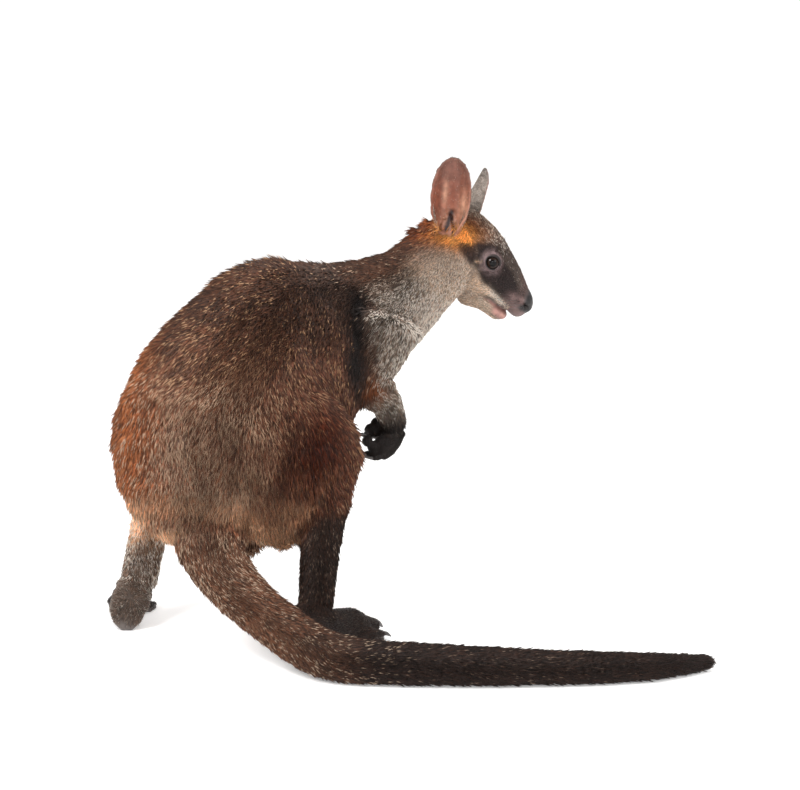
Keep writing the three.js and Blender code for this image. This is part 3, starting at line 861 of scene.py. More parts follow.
def hide_colours(points, normals, nodes, edges, bare, coat):
    """The colour of the skin itself, which is dark under the coat, with painted shade in the nostrils, along
    the mouth's line and in the ears' hollows.
    """
    h = to_head(points)
    head = on_part(nodes, "head", edges, 2)
    muzzle = ease(32, 50, h[:, 0]) * head * ease(-6, -14, h[:, 2] - 0.2 * h[:, 0] + 8)
    nose = ease(60, 65, h[:, 0] + 0.35 * np.abs(h[:, 2] + 12)) * ease(-22, -17, h[:, 2])
    mouth = bell(h - (42, 0, -36), (18, 9, 3.2))
    # where shade is painted inside the nostrils
    nostrils = bell(np.abs(h) - (68, 9, 12.5), (3.0, 4, 2.4)) * (h[:, 0] > 50)
    hide = paint(coat * 0.45, on_part(nodes, "foot", edges, 1) * bare, PAD_SKIN)
    hide = paint(hide, on_part(nodes, "hand", edges, 1), SOOT)
    hide = paint(hide, muzzle, MUZZLE_SKIN)
    hide = paint(hide, nose, NOSE_SKIN)
    hide = paint(hide, on_part(nodes, "lower_jaw", edges, 1) * bare, LIP_SKIN)
    # the closed mouth's line: dark flesh, with the shade in the crease between the lips painted in
    hide = paint(hide, mouth * 1.3, SHADED_RECESS)
    # painted shade inside the nostrils
    hide = paint(hide, nostrils * 1.4, SOOT)
    for side in SIDES:
        centre, out, _, _ = eye_frame(side)
        far = np.linalg.norm(points - centre, axis=1) / MM
        hide = paint(hide, ease(15.5, 13, far) * 0.9, LID_SKIN)
        share, across = ear_place(points, side)
        ear = on_part(nodes, f"ear_{side}", edges, 1)
        inside = spread(ear_inside(points, normals, nodes, side), edges, 1)
        place = np.column_stack([share * 90, across])
        hide = paint(hide, inside, EAR_INSIDE)
        # painted shade: the ear's hollow darker towards its tip
        hide = paint(hide, inside * ease(0.45, 0.95, share) * 0.4, BRIDGE)
        hide = paint(hide, inside * bell(place - (50, -7), (14, 3.2)) * 0.8, EAR_PALE)
        hide = paint(hide, inside * bell(place - (38, 16), (16, 6)) * 0.9, EAR_PALE)
        hide = paint(hide, inside * bell(place - (16, 1), (14, 14)) * 0.6, EAR_PALE)
        # painted shade down the slit that leads into the ear
        hide = paint(hide, inside * ear_slit(share, across) * 1.3, SHADED_RECESS)
        hide = paint(hide, ear * (1 - inside) * ease(0.3, 0.6, share) * 0.6, EAR_RIM)
    return hide


def dress(skin, body):
    """Keeps the coat's colours, sizes and lie on the skin, and says which node each vertex belongs to."""
    mesh = skin.data
    points, edges, normals = table_of(mesh)
    nodes = body.nodes_at(points)
    coat, tips, tick = markings(points, normals, nodes, edges)
    bare = bareness(points, normals, nodes, edges)
    hide = hide_colours(points, normals, nodes, edges, bare, coat)
    h = to_head(points)
    depth, length, width, ground = (blended(coat_size(points, nodes, k), points, edges) for k in range(4))
    head = on_part(nodes, "head", edges, 2)
    length *= 1 - 0.5 * head * ease(0, 45, h[:, 0])
    for side in SIDES:
        base = bell(points / MM - np.array(EARS[side][0]) - (0, 0, 2), (34, 34, 18))
        length += 3 * base * (1 - on_part(nodes, f"ear_{side}", edges, 2))
        behind = bell(points / MM - np.array(EARS[side][0]) - (-38, 0, 2), (22, 30, 20))
        length += 5 * behind
        depth = depth + 3 * behind
    on_floor = ease(7, 2, points[:, 2] / MM) * ease(0.2, -0.3, normals[:, 2])
    store(mesh, "coat_colour", np.clip(coat, 0.002, 1), "FLOAT_COLOR")
    store(mesh, "hide_colour", np.clip(hide, 0.002, 1), "FLOAT_COLOR")
    store(mesh, "tip_colour", tips, "FLOAT_COLOR")
    store(mesh, "ticking", tick)
    store(mesh, "bare", bare)
    store(mesh, "lie", lie_of_coat(points, normals, nodes, edges), "FLOAT_VECTOR")
    store(mesh, "hair_length", length * MM)
    store(mesh, "hair_width", width * MM)
    store(mesh, "hair_slope", 0.5 * depth / length)
    store(mesh, "hair_count", (1 - bare) ** 2 * (1 - on_floor) / ground)
    return nodes


# ----------------------------------------------------------------------------------------------------
# Finishes

# Settings and sockets of a Mix node for colours, which blends them or multiplies them.
MIX = {"data_type": "RGBA"}
TINT = {"data_type": "RGBA", "blend_type": "MULTIPLY"}
FACTOR, FIRST, SECOND, MIXED = 0, 6, 7, 2
# Settings of a Map Range node. Its inputs are the value, the range it comes from and the one it goes to.
EASED = {"interpolation_type": "SMOOTHSTEP"}
TIMES = {"operation": "MULTIPLY"}

# How fine each finish's pattern is, in repeats to the metre: the nap of the short hair, the pebbles of the
# bare skin and its blotches, the lids' creases, a whisker's wear, a claw's grain and the coat's clumps.
NAP, PEBBLES, BLOTCHES, CREASES, WEAR, GRAIN, CLUMPS = 900, 800, 160, 700, 200, 500, 260


def add(tree, kind, inputs=None, **settings):
    """Adds a node with its settings. An input takes a number, a colour or another node's socket."""
    node = tree.nodes.new(kind)
    for name, value in settings.items():
        setattr(node, name, value)
    for name, value in (inputs or {}).items():
        if isinstance(value, bpy.types.NodeSocket):
            tree.links.new(value, node.inputs[name])
        else:
            node.inputs[name].default_value = value
    return node


def material(name):
    """An empty material with its surface's shader."""
    made = bpy.data.materials.new(name)
    made.use_nodes = True
    return made, made.node_tree, made.node_tree.nodes["Principled BSDF"]


def guard_hair():
    """Keratin hair: dark at its root, the marking's colour along it, and on some tufts a pale band near
    the tip, which gives the coat its grizzle. Dull, with a soft shine along the lie."""
    made, tree, shader = material("guard_hair")
    along, chance, ticking = (
        add(tree, "ShaderNodeAttribute", attribute_name=name).outputs["Fac"]
        for name in ("along", "hair_chance", "ticking")
    )
    coat, tip = (
        add(tree, "ShaderNodeAttribute", attribute_name=name).outputs["Color"]
        for name in ("coat_colour", "tip_colour")
    )
    draws = []
    for stretch in (17.0, 71.0):  # two more random numbers for each tuft, out of its first one
        stretched = add(tree, "ShaderNodeMath", {0: chance, 1: stretch}, **TIMES)
        draws.append(add(tree, "ShaderNodeMath", {0: stretched.outputs[0]}, operation="FRACT").outputs[0])
    root_to_tip = add(tree, "ShaderNodeMapRange", {0: along, 2: 0.7, 3: 0.42, 4: 1.15}, **EASED)
    tone = add(tree, "ShaderNodeMapRange", {0: draws[0], 3: 0.4, 4: 1.65}, **EASED)
    shade = add(tree, "ShaderNodeMath", {0: root_to_tip.outputs[0], 1: tone.outputs[0]}, **TIMES)
    cool, warm = (0.88, 1.0, 1.08, 1), (1.22, 1.0, 0.86, 1)
    warmth = add(tree, "ShaderNodeMix", {FACTOR: draws[1], FIRST: cool, SECOND: warm}, **MIX)
    tinted = add(tree, "ShaderNodeMix", {FACTOR: 1.0, FIRST: coat, SECOND: warmth.outputs[MIXED]}, **TINT)
    shaded = {FACTOR: 1.0, FIRST: tinted.outputs[MIXED], SECOND: shade.outputs[0]}
    strand = add(tree, "ShaderNodeMix", shaded, **TINT)
    ticked = add(tree, "ShaderNodeMath", {0: chance, 1: ticking}, operation="LESS_THAN")
    starts = add(tree, "ShaderNodeMapRange", {0: along, 1: 0.5, 2: 0.72}, **EASED)
    ends = add(tree, "ShaderNodeMapRange", {0: along, 1: 1.08, 2: 0.92}, **EASED)
    band = add(tree, "ShaderNodeMath", {0: starts.outputs[0], 1: ends.outputs[0]}, **TIMES)
    pale = add(tree, "ShaderNodeMath", {0: ticked.outputs[0], 1: band.outputs[0]}, **TIMES)
    amount = add(tree, "ShaderNodeMath", {0: pale.outputs[0], 1: 0.85}, **TIMES).outputs[0]
    tipped = add(tree, "ShaderNodeMix", {FACTOR: amount, FIRST: strand.outputs[MIXED], SECOND: tip}, **MIX)
    tree.links.new(tipped.outputs[MIXED], shader.inputs["Base Color"])
    shader.inputs["Roughness"].default_value = 0.55
    shader.inputs["IOR"].default_value = 1.55
    shader.inputs["Specular IOR Level"].default_value = 0.22
    return made


def hide():
    """Skin: a fine nap of very short hair where it is covered, pebbled leather where it is bare."""
    made, tree, shader = material("hide")
    place = add(tree, "ShaderNodeTexCoord").outputs["Object"]
    bare = add(tree, "ShaderNodeAttribute", attribute_name="bare").outputs["Fac"]
    colour = add(tree, "ShaderNodeAttribute", attribute_name="hide_colour").outputs["Color"]
    nap = add(tree, "ShaderNodeTexNoise", {"Vector": place, "Scale": NAP, "Detail": 3.0})
    pebble = add(
        tree, "ShaderNodeTexVoronoi", {"Vector": place, "Scale": PEBBLES}, feature="SMOOTH_F1"
    )
    blotch = add(tree, "ShaderNodeTexNoise", {"Vector": place, "Scale": BLOTCHES, "Detail": 4.0})
    tone = add(
        tree, "ShaderNodeMapRange", {0: blotch.outputs["Fac"], 1: 0.25, 2: 0.75, 3: 0.72, 4: 1.25}, **EASED
    )
    blotched = add(tree, "ShaderNodeMix", {FACTOR: 1.0, FIRST: colour, SECOND: tone.outputs[0]}, **TINT)
    tree.links.new(blotched.outputs[MIXED], shader.inputs["Base Color"])
    relief = {FACTOR: bare, 2: nap.outputs["Fac"], 3: pebble.outputs["Distance"]}
    height = add(tree, "ShaderNodeMix", relief, data_type="FLOAT")
    bump = add(tree, "ShaderNodeBump", {"Strength": 0.5, "Distance": 0.6 * MM, "Height": height.outputs[0]})
    tree.links.new(bump.outputs["Normal"], shader.inputs["Normal"])
    dullness = add(tree, "ShaderNodeMapRange", {0: bare, 3: 0.85, 4: 0.5}, **EASED)
    tree.links.new(dullness.outputs[0], shader.inputs["Roughness"])
    shader.inputs["IOR"].default_value = 1.42
    return made


def eyeball():
    """A wet cornea over a very dark brown iris and a wide black pupil."""
    made, tree, shader = material("eyeball")
    turn = add(tree, "ShaderNodeAttribute", attribute_name="from_axis").outputs["Fac"]
    round_axis = add(tree, "ShaderNodeAttribute", attribute_name="round_axis").outputs["Vector"]
    fibre = add(tree, "ShaderNodeTexNoise", {"Vector": round_axis, "Scale": 5.0, "Detail": 4.0})
    iris = {FACTOR: fibre.outputs["Fac"], FIRST: rgba(0x0D0807), SECOND: rgba(0x2A1A10)}
    colour = add(tree, "ShaderNodeMix", iris, **MIX).outputs[MIXED]
    pupil_edge = add(tree, "ShaderNodeMapRange", {0: turn, 1: 24, 2: 27}, **EASED).outputs[0]
    with_pupil = {FACTOR: pupil_edge, FIRST: rgba(0x050404), SECOND: colour}
    colour = add(tree, "ShaderNodeMix", with_pupil, **MIX).outputs[MIXED]
    iris_edge = add(tree, "ShaderNodeMapRange", {0: turn, 1: 40, 2: 46}, **EASED).outputs[0]
    with_rim = {FACTOR: iris_edge, FIRST: colour, SECOND: rgba(0x0D0908)}
    colour = add(tree, "ShaderNodeMix", with_rim, **MIX).outputs[MIXED]
    tree.links.new(colour, shader.inputs["Base Color"])
    shader.inputs["Roughness"].default_value = 0.04
    shader.inputs["IOR"].default_value = 1.376
    shader.inputs["Specular IOR Level"].default_value = 0.3
    return made


def lid_skin():
    """Moist bare skin: pinkish grey, dark at the lid's edge and finely creased."""
    made, tree, shader = material("lid_skin")
    place = add(tree, "ShaderNodeTexCoord").outputs["Object"]
    creases = add(tree, "ShaderNodeTexNoise", {"Vector": place, "Scale": CREASES, "Detail": 3.0})
    across = add(tree, "ShaderNodeAttribute", attribute_name="from_edge").outputs["Fac"]
    outwards = add(tree, "ShaderNodeMapRange", {0: across, 1: 0.1, 2: 0.8}, **EASED)
    edged = {FACTOR: outwards.outputs[0], FIRST: rgba(0x1E1615), SECOND: rgba(LID_SKIN)}
    colour = add(tree, "ShaderNodeMix", edged, **MIX)
    tone = add(
        tree, "ShaderNodeMapRange", {0: creases.outputs["Fac"], 1: 0.3, 2: 0.7, 3: 0.8, 4: 1.15}, **EASED
    )
    mottled = {FACTOR: 1.0, FIRST: colour.outputs[MIXED], SECOND: tone.outputs[0]}
    colour = add(tree, "ShaderNodeMix", mottled, **TINT)
    tree.links.new(colour.outputs[MIXED], shader.inputs["Base Color"])
    relief = {"Strength": 0.5, "Distance": 0.4 * MM, "Height": creases.outputs["Fac"]}
    tree.links.new(add(tree, "ShaderNodeBump", relief).outputs["Normal"], shader.inputs["Normal"])
    shader.inputs["Roughness"].default_value = 0.42
    shader.inputs["IOR"].default_value = 1.42
    return made


def whisker():
    """Stiff keratin bristle, black and smooth."""
    made, tree, shader = material("whisker")
    place = add(tree, "ShaderNodeTexCoord").outputs["Object"]
    worn = add(tree, "ShaderNodeTexNoise", {"Vector": place, "Scale": WEAR})
    tones = {FACTOR: worn.outputs["Fac"], FIRST: rgba(0x100D0C), SECOND: rgba(0x2C2421)}
    tree.links.new(add(tree, "ShaderNodeMix", tones, **MIX).outputs[MIXED], shader.inputs["Base Color"])
    shader.inputs["Roughness"].default_value = 0.35
    shader.inputs["IOR"].default_value = 1.55
    return made


def claw_horn():
    """Keratin horn: near black, grained and worn to a soft shine."""
    made, tree, shader = material("claw_horn")
    place = add(tree, "ShaderNodeTexCoord").outputs["Object"]
    grain = add(tree, "ShaderNodeTexNoise", {"Vector": place, "Scale": GRAIN, "Detail": 4.0})
    tones = {FACTOR: grain.outputs["Fac"], FIRST: rgba(0x0F0C0B), SECOND: rgba(0x3A302B)}
    tree.links.new(add(tree, "ShaderNodeMix", tones, **MIX).outputs[MIXED], shader.inputs["Base Color"])
    relief = {"Strength": 0.4, "Distance": 0.3 * MM, "Height": grain.outputs["Fac"]}
    tree.links.new(add(tree, "ShaderNodeBump", relief).outputs["Normal"], shader.inputs["Normal"])
    shader.inputs["Roughness"].default_value = 0.33
    shader.inputs["IOR"].default_value = 1.55
    return made


# ----------------------------------------------------------------------------------------------------
# Tufts, set on the skin by Geometry Nodes


def tuft_mesh():
    """One tuft, 1 long and 1 wide: a flat root, a crest a little past the middle, and the tip."""
    points = [(-0.03, -0.5, -0.05), (-0.03, 0.5, -0.05), (0.45, 0.0, 0.075), (1.0, 0.0, 0.0)]
    mesh = new_mesh("tuft", points, [(0, 2, 1), (0, 1, 3), (0, 3, 2), (1, 2, 3)])
    store(mesh, "along", np.array([0.0, 0.0, 0.45, 1.0]))
    store(mesh, "across", np.array([0.0, 1.0, 0.5, 0.5]))
    return mesh


# The coat's inputs and their kinds of socket, the fields that it reads from the skin and from the tufts, and
# the random numbers that it draws for each tuft: between which two, and from which seed.
COAT_INPUTS = {
    "Skin": "Geometry",
    "Tuft": "Object",
    "Thickness": "Float",
    "Disorder": "Float",
    "Patch": "Float",
    "Seed": "Int",
    "Hair": "Material",
}
COAT_FIELDS = {
    "hair_count": "FLOAT",
    "hair_slope": "FLOAT",
    "hair_length": "FLOAT",
    "hair_width": "FLOAT",
    "lie": "FLOAT_VECTOR",
    "along": "FLOAT",
    "across": "FLOAT",
    BAKE_MAP: "FLOAT_VECTOR",
}
TUFT_DRAWS = {
    "chance": (0.0, 0.38, 5),
    "rise": (0.5, 1.3, 9),
    "length": (0.7, 1.2, 11),
    "width": (0.7, 1.3, 13),
}


def coat_tree():
    """Sets tufts on a skin as thick as its hair_count says, each along the lie and raised by its slope."""
    tree = bpy.data.node_groups.new("coat", "GeometryNodeTree")
    for name, kind in COAT_INPUTS.items():
        tree.interface.new_socket(name, in_out="INPUT", socket_type=f"NodeSocket{kind}")
    tree.interface.new_socket("Coat", in_out="OUTPUT", socket_type="NodeSocketGeometry")
    given = add(tree, "NodeGroupInput").outputs
    kept = {}
    for name, kind in COAT_FIELDS.items():
        read = add(tree, "GeometryNodeInputNamedAttribute", {"Name": name}, data_type=kind)
        kept[name] = read.outputs["Attribute"]
    drawn = {}
    for name, (low, high, seed) in TUFT_DRAWS.items():
        draw = add(tree, "FunctionNodeRandomValue", {2: low, 3: high, "Seed": seed}, data_type="FLOAT")
        drawn[name] = draw.outputs[1]
    density, slope, length, width = (
        add(tree, "ShaderNodeMath", {0: measure, 1: factor}, **TIMES).outputs[0]
        for measure, factor in (
            (kept["hair_count"], given["Thickness"]),
            (kept["hair_slope"], drawn["rise"]),
            (kept["hair_length"], drawn["length"]),
            (kept["hair_width"], drawn["width"]),
        )
    )
    # The roots, and the chance that picks which tufts are pale: partly by small clumps, partly by each tuft.
    sowing = {"Mesh": given["Skin"], "Density": density, "Seed": given["Seed"]}
    sown = add(tree, "GeometryNodeDistributePointsOnFaces", sowing, distribute_method="RANDOM")
    normal = sown.outputs["Normal"]
    clumps = add(tree, "ShaderNodeTexNoise", {"Scale": CLUMPS, "Detail": 1.0}).outputs["Fac"]
    clumped = add(tree, "ShaderNodeMapRange", {0: clumps, 1: 0.3, 2: 0.7, 4: 0.62}, **EASED)
    chance = add(tree, "ShaderNodeMath", {0: clumped.outputs[0], 1: drawn["chance"]}, operation="ADD")
    marked = {"Geometry": sown.outputs["Points"], "Name": "hair_chance", "Value": chance.outputs[0]}
    roots = add(tree, "GeometryNodeStoreNamedAttribute", marked, data_type="FLOAT", domain="POINT")
    # The way each tuft lies: along the coat's lie, raised off the skin and a little astray.
    astray = add(
        tree, "FunctionNodeRandomValue", {0: (-1, -1, -1), 1: (1, 1, 1), "Seed": 7}, data_type="FLOAT_VECTOR"
    )
    way = kept["lie"]
    for direction, amount in ((normal, slope), (astray.outputs[0], given["Disorder"])):
        part = add(tree, "ShaderNodeVectorMath", {0: direction, "Scale": amount}, operation="SCALE")
        way = add(tree, "ShaderNodeVectorMath", {0: way, 1: part.outputs[0]}, operation="ADD").outputs[0]
    straight = add(tree, "ShaderNodeVectorMath", {0: way}, operation="NORMALIZE").outputs[0]
    axes = {"Primary Axis": straight, "Secondary Axis": normal}
    turned = add(tree, "FunctionNodeAxesToRotation", axes, primary_axis="X", secondary_axis="Z")
    size = add(tree, "ShaderNodeCombineXYZ", {"X": length, "Y": width, "Z": length})
    tuft = add(tree, "GeometryNodeObjectInfo", {"Object": given["Tuft"]})
    planting = {
        "Points": roots.outputs[0],
        "Instance": tuft.outputs["Geometry"],
        "Rotation": turned.outputs["Rotation"],
        "Scale": size.outputs[0],
    }
    planted = add(tree, "GeometryNodeInstanceOnPoints", planting)
    real = add(tree, "GeometryNodeRealizeInstances", {"Geometry": planted.outputs["Instances"]})
    # Each tuft's own patch of the map, at its root's place.
    corner = add(tree, "ShaderNodeCombineXYZ", {"X": kept["along"], "Y": kept["across"]})
    within = {0: corner.outputs[0], "Scale": given["Patch"]}
    patch = add(tree, "ShaderNodeVectorMath", within, operation="SCALE")
    spot = add(tree, "ShaderNodeVectorMath", {0: kept[BAKE_MAP], 1: patch.outputs[0]}, operation="ADD")
    placed = {"Geometry": real.outputs[0], "Name": BAKE_MAP, "Value": spot.outputs[0]}
    mapped = add(tree, "GeometryNodeStoreNamedAttribute", placed, data_type="FLOAT2", domain="CORNER")
    done = add(tree, "GeometryNodeSetMaterial", {"Geometry": mapped.outputs[0], "Material": given["Hair"]})
    add(tree, "NodeGroupOutput", {"Coat": done.outputs[0]})
    return tree


KEPT_ON_TUFTS = ("coat_colour", "tip_colour", "ticking", "hair_chance", "along", BAKE_MAP)


def give(modifier, tree, **inputs):
    """Sets a tree's inputs by their sockets' identifiers."""
    keys = {item.name: item.identifier for item in tree.interface.items_tree if item.in_out == "INPUT"}
    for name, value in inputs.items():
        modifier[keys[name]] = value


def unwrapped(name, skin, faces):
    """A copy of some of the skin's faces, laid out flat on a map of its own shape."""
    work = bmesh.new()
    work.from_mesh(skin.data)
    work.faces.ensure_lookup_table()
    bmesh.ops.delete(work, geom=[work.faces[i] for i in np.flatnonzero(~faces)], context="FACES")
    mesh = bpy.data.meshes.new(name)
    work.to_mesh(mesh)
    work.free()
    mesh.materials.clear()
    piece = new_object(name, mesh)
    mesh.uv_layers.new(name=BAKE_MAP)
    bpy.context.view_layer.objects.active = piece
    for other in bpy.context.selected_objects:
        other.select_set(False)
    piece.select_set(True)
    bpy.ops.object.mode_set(mode="EDIT")
    bpy.ops.mesh.select_all(action="SELECT")
    bpy.ops.uv.smart_project(angle_limit=math.radians(66), island_margin=0.003)
    bpy.ops.object.mode_set(mode="OBJECT")
    return piece


def coat_areas(skin, nodes):
    """The skin's faces parted into areas, each for one piece of the coat."""
    count = len(skin.data.polygons)
    starts = np.empty(count, np.int32)
    skin.data.polygons.foreach_get("loop_start", starts)
    corners = np.empty(len(skin.data.loops), np.int32)
    skin.data.loops.foreach_get("vertex_index", corners)
    of_face = nodes[corners[starts]]
    middle = np.empty(count * 3, np.float32)
    skin.data.polygons.foreach_get("center", middle)
    x, y, z = middle.reshape(-1, 3).T / MM
    part = np.array([part_of(n) for n in FLESH])[of_face]
    trunk = part == "trunk"
    thigh = part == "thigh"
    left = (x + 110) * 0.67 - (y - 10) * 0.74 < 0
    high = z > 300
    return {
        "coat_back_right": trunk & high & ~left,
        "coat_back_left": trunk & high & left,
        "coat_rump_right": trunk & ~high & ~left,
        "coat_rump_left": trunk & ~high & left,
        "coat_thigh_right": thigh & ~left,
        "coat_thigh_left": thigh & left,
        "coat_neck": part == "neck",
        "coat_head": np.isin(part, ("head", "lower_jaw")),
        "coat_ears": part == "ear",
        "coat_arms": np.isin(part, ("upper_arm", "forearm", "hand")),
        "coat_legs": np.isin(part, ("shank", "foot")),
        "coat_tail_near": np.isin(part, ("tail_root", "tail_bend")),
        "coat_tail_far": np.isin(part, ("tail_middle", "tail_tip")),
    }


def grow_coat(skin, nodes, hair):
    """All the pieces of the coat, as plain meshes."""
    tree = coat_tree()
    tuft = new_object("tuft", tuft_mesh())
    pieces = []
    for number, (name, faces) in enumerate(coat_areas(skin, nodes).items()):
        piece = unwrapped(name, skin, faces)
        setter = piece.modifiers.new("coat", "NODES")
        setter.node_group = tree
        thickness = 1.0 / MM**2
        disorder = 0.33 if name.startswith(("coat_back", "coat_rump", "coat_thigh")) else 0.2
        give(setter, tree, Tuft=tuft, Thickness=thickness, Disorder=disorder, Patch=PATCH)
        give(setter, tree, Seed=SEED + number, Hair=hair)
        finished(piece)
        for attribute in [a.name for a in piece.data.attributes if not a.is_internal]:
            if attribute not in KEPT_ON_TUFTS and attribute not in ("position", "material_index"):
                piece.data.attributes.remove(piece.data.attributes[attribute])
        pieces.append(piece)
    bpy.data.objects.remove(tuft)
    return pieces


# ----------------------------------------------------------------------------------------------------
# Eyes, lids and claws


def make_eye(side, finish):
    """An eyeball, with each vertex's angle from the eye's axis kept for its iris and pupil."""
    centre, out, _, above = eye_frame(side)
    work = bmesh.new()
    bmesh.ops.create_uvsphere(work, u_segments=48, v_segments=32, radius=EYE_RADIUS * MM)
    mesh = bpy.data.meshes.new(f"eyeball_{side}")
    work.to_mesh(mesh)
    work.free()
    points, _, _ = table_of(mesh)
    turned = points @ np.array([np.cross(above, out), above, out])
    put_back(mesh, centre + turned)
    way = turned / (EYE_RADIUS * MM)
    store(mesh, "from_axis", np.degrees(np.arccos(np.clip(way @ out, -1, 1))))
    store(mesh, "round_axis", way - np.outer(way @ out, out), "FLOAT_VECTOR")
    mesh.shade_smooth()
    mesh.materials.append(finish)
    return new_object(f"eyeball_{side}", mesh)


# The section of a lid: degrees outwards from its edge, millimetres out from the ball, and 0 to 1 across it.
LID_SECTION = [
    (2.0, -1.2, 0.0),
    (-1.0, 0.1, 0.0),
    (0.0, 1.1, 0.15),
    (4.0, 1.9, 0.5),
    (10.0, 2.1, 0.8),
    (18.0, 1.7, 1.0),
    (26.0, 0.8, 1.0),
    (30.0, -1.0, 1.0),
]
LID_STEPS = 72


def make_lids(side, finish):
    """A ring of lid round the opening, drawn out to a corner in front and a smaller one behind."""
    centre, out, ahead, above = eye_frame(side)
    points, across = [], []
    for turn in np.linspace(0, 2 * math.pi, LID_STEPS, endpoint=False):
        corner = 9 * max(0, math.cos(turn)) ** 5 + 4 * max(0, -math.cos(turn)) ** 5
        heavy = 3.0 * max(0, math.sin(turn))  # the upper lid hangs lower and is thicker
        opening = LID_OPENING + corner - 4 * abs(math.sin(turn)) - heavy
        round_way = ahead * math.cos(turn) + above * math.sin(turn)
        for degrees, lift, share in LID_SECTION:
            angle = math.radians(opening + degrees)
            radius = EYE_RADIUS + lift * (1 + 0.12 * heavy)
            points.append(centre + (out * math.cos(angle) + round_way * math.sin(angle)) * radius * MM)
            across.append(share * (1 - 0.7 * max(0, math.sin(turn))))  # the upper lid is dark
    size = len(LID_SECTION)
    faces = []
    for i in range(LID_STEPS):
        for j in range(size):
            a, b = i * size, (i + 1) % LID_STEPS * size
            faces.append((a + j, b + j, b + (j + 1) % size, a + (j + 1) % size))
    mesh = new_mesh(f"eyelids_{side}", points, faces)
    store(mesh, "from_edge", np.array(across))
    face_out(mesh)
    mesh.shade_smooth()
    mesh.materials.append(finish)
    piece = new_object(f"eyelids_{side}", mesh)
    round_off = piece.modifiers.new("round", "SUBSURF")
    round_off.levels = round_off.render_levels = 1
    return finished(piece)


def face_out(mesh):
    """Turns a closed mesh's faces outwards."""
    work = bmesh.new()
    work.from_mesh(mesh)
    bmesh.ops.recalc_face_normals(work, faces=work.faces)
    work.to_mesh(mesh)
    work.free()


def make_claw(node, finish):
    """A claw's solid, rounded off."""
    work = merged_node(node)
    mesh = bpy.data.meshes.new(f"{node}_horn")
    work.to_mesh(mesh)
    work.free()
    mesh.materials.clear()
    mesh.materials.append(finish)
    piece = new_object(f"{node}_horn", mesh)
    round_off = piece.modifiers.new("round", "SUBSURF")
    round_off.levels = round_off.render_levels = 2
    finished(piece)
    piece.data.shade_smooth()
    return piece


# Whiskers, in the head's frame: where each group stands on the left side, how its roots are spread, how
# many there are, how long they are and which way they point.
WHISKERS = (
    ((54, 14, -17), (11, 4, 6.5), 16, 26, (-0.35, 0.85, -0.35)),
    ((-4, 26, 19), (4, 2, 2), 4, 17, (0.1, 0.6, 0.8)),
    ((-12.2, 33, -11.4), (1, 1, 1), 3, 15, (-0.3, 0.9, -0.4)),
    ((46, 5, -44), (8, 3, 2), 5, 11, (-0.1, 0.5, -0.85)),
)
WHISKER_WIDTH = 0.5
WHISKER_STEPS = 7


def make_whiskers(skin, finish):
    """Tapered bristles that bow backwards, all in one mesh."""
    tree = BVHTree.FromObject(skin, bpy.context.evaluated_depsgraph_get())
    rng = np.random.default_rng(SEED)
    points, faces = [], []
    for sign in (1, -1):
        for at, reach, count, length, way in WHISKERS:
            for _ in range(count):
                spot = from_head((np.array(at) + rng.uniform(-1, 1, 3) * reach) * (1, sign, 1))
                root = np.array(tree.find_nearest(Vector(spot))[0])
                out = (np.array(way) * (1, sign, 1) + rng.normal(0, 0.12, 3)) @ HEAD_AXES
                out /= np.linalg.norm(out)
                side = np.cross(out, BROW)
                side /= np.linalg.norm(side)
                third = np.cross(out, side)
                long = length * rng.uniform(0.7, 1.1)
                first = len(points)
                for step in range(WHISKER_STEPS):
                    share = step / (WHISKER_STEPS - 1)
                    bow = np.array(MUZZLE) * -0.22 * long * share**2
                    centre = root + (out * (long * share - 1) + bow) * MM
                    radius = WHISKER_WIDTH / 2 * (1 - 0.85 * share) * MM
                    for turn in (0, 2 * math.pi / 3, 4 * math.pi / 3):
                        points.append(centre + (side * math.cos(turn) + third * math.sin(turn)) * radius)
                for step in range(WHISKER_STEPS - 1):
                    a = first + 3 * step
                    faces += [(a + i, a + (i + 1) % 3, a + 3 + (i + 1) % 3, a + 3 + i) for i in range(3)]
                last = first + 3 * (WHISKER_STEPS - 1)
                faces += [(first, first + 2, first + 1), (last, last + 1, last + 2)]
    mesh = new_mesh("whiskers", points, faces)
    face_out(mesh)
    mesh.materials.append(finish)
    return new_object("whiskers", mesh)


# ----------------------------------------------------------------------------------------------------
# The whole animal

body = Body()
skin = make_skin(body)
nodes = dress(skin, body)
skin.data.materials.append(hide())
skin.data.shade_smooth()
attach(skin, "root")
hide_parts(*FLESH)

hair = guard_hair()
for piece in grow_coat(skin, nodes, hair):
    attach(piece, "root")

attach(make_whiskers(skin, whisker()), "root")
ball, rim, horn = eyeball(), lid_skin(), claw_horn()
for side in SIDES:
    eye = make_eye(side, ball)
    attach(eye, "root")
    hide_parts(f"eye_{side}")
    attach(make_lids(side, rim), "root")
for node in sorted(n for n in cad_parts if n.startswith("claw")):
    claw = make_claw(node, horn)
    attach(claw, "root")
    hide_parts(node)

# ----------------------------------------------------------------------------------------------------
# Floor, light and camera

CAMERA_AT = (0.0073, -2.4395, 0.640)
CAMERA_DOWN = 8.5  # degrees below level
CAMERA_LENS = 97.5  # millimetres
LIT_AT = Vector((0, 0, 0.25))  # what every light points at


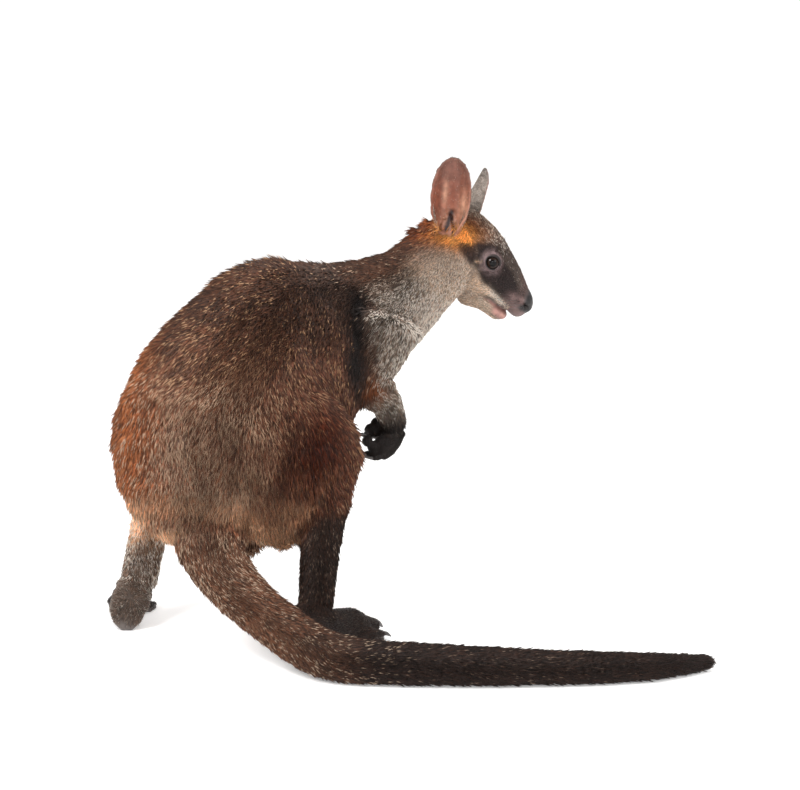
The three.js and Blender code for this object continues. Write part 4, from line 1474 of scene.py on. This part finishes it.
def make_backdrop():
    """A wide floor of paper that curves up all round."""
    rings = [(0.02, 0.0), (2.0, 0.0), (4.0, 0.0)]
    rings += [(4 + 3 * math.sin(t), 3 - 3 * math.cos(t)) for t in np.linspace(0.1, math.pi / 2, 14)]
    turns = np.linspace(0, 2 * math.pi, 72, endpoint=False)
    points = [(r * math.cos(t), r * math.sin(t), z) for r, z in rings for t in turns]
    size = len(turns)
    faces = [tuple(range(size))]
    for ring in range(len(rings) - 1):
        a = ring * size
        faces += [(a + i, a + size + i, a + size + (i + 1) % size, a + (i + 1) % size) for i in range(size)]
    mesh = new_mesh("floor", points, faces)
    mesh.shade_smooth()
    return new_object("floor", mesh)


floor = make_backdrop()
paper, _, shader = material("paper_floor")  # white cartridge paper, matt, lit from below so that it blows out
shader.inputs["Base Color"].default_value = rgba(0xF6F5F4)
shader.inputs["Roughness"].default_value = 0.9
shader.inputs["Emission Color"].default_value = (1, 1, 1, 1)
shader.inputs["Emission Strength"].default_value = 0.28
floor.data.materials.append(paper)


def soft_light(name, at, size, watts):
    """A square lamp that gives soft shadows."""
    light = bpy.data.lights.new(name, "AREA")
    light.energy = watts
    light.size = size
    lamp = bpy.data.objects.new(name, light)
    lamp.location = at
    lamp.rotation_euler = (LIT_AT - lamp.location).to_track_quat("-Z", "Y").to_euler()
    bpy.context.scene.collection.objects.link(lamp)


soft_light("key", (-1.5, -2.2, 2.4), 1.1, 95)
soft_light("fill", (2.3, -1.7, 1.5), 1.8, 30)
soft_light("back", (0.6, 2.4, 2.2), 1.8, 40)
soft_light("glint", (0.35, -2.3, 1.0), 0.3, 12)
world = bpy.data.worlds.new("studio")
world.use_nodes = True
world.node_tree.nodes["Background"].inputs["Color"].default_value = (1, 1, 1, 1)
world.node_tree.nodes["Background"].inputs["Strength"].default_value = 0.6
bpy.context.scene.world = world
bpy.context.scene.view_settings.view_transform = "Standard"

camera_data = bpy.data.cameras.new("camera")
camera_data.lens = CAMERA_LENS
camera = bpy.data.objects.new("camera", camera_data)
camera.location = CAMERA_AT
camera.rotation_euler = (math.radians(90 - CAMERA_DOWN), 0, 0)
bpy.context.scene.collection.objects.link(camera)
bpy.context.scene.camera = camera
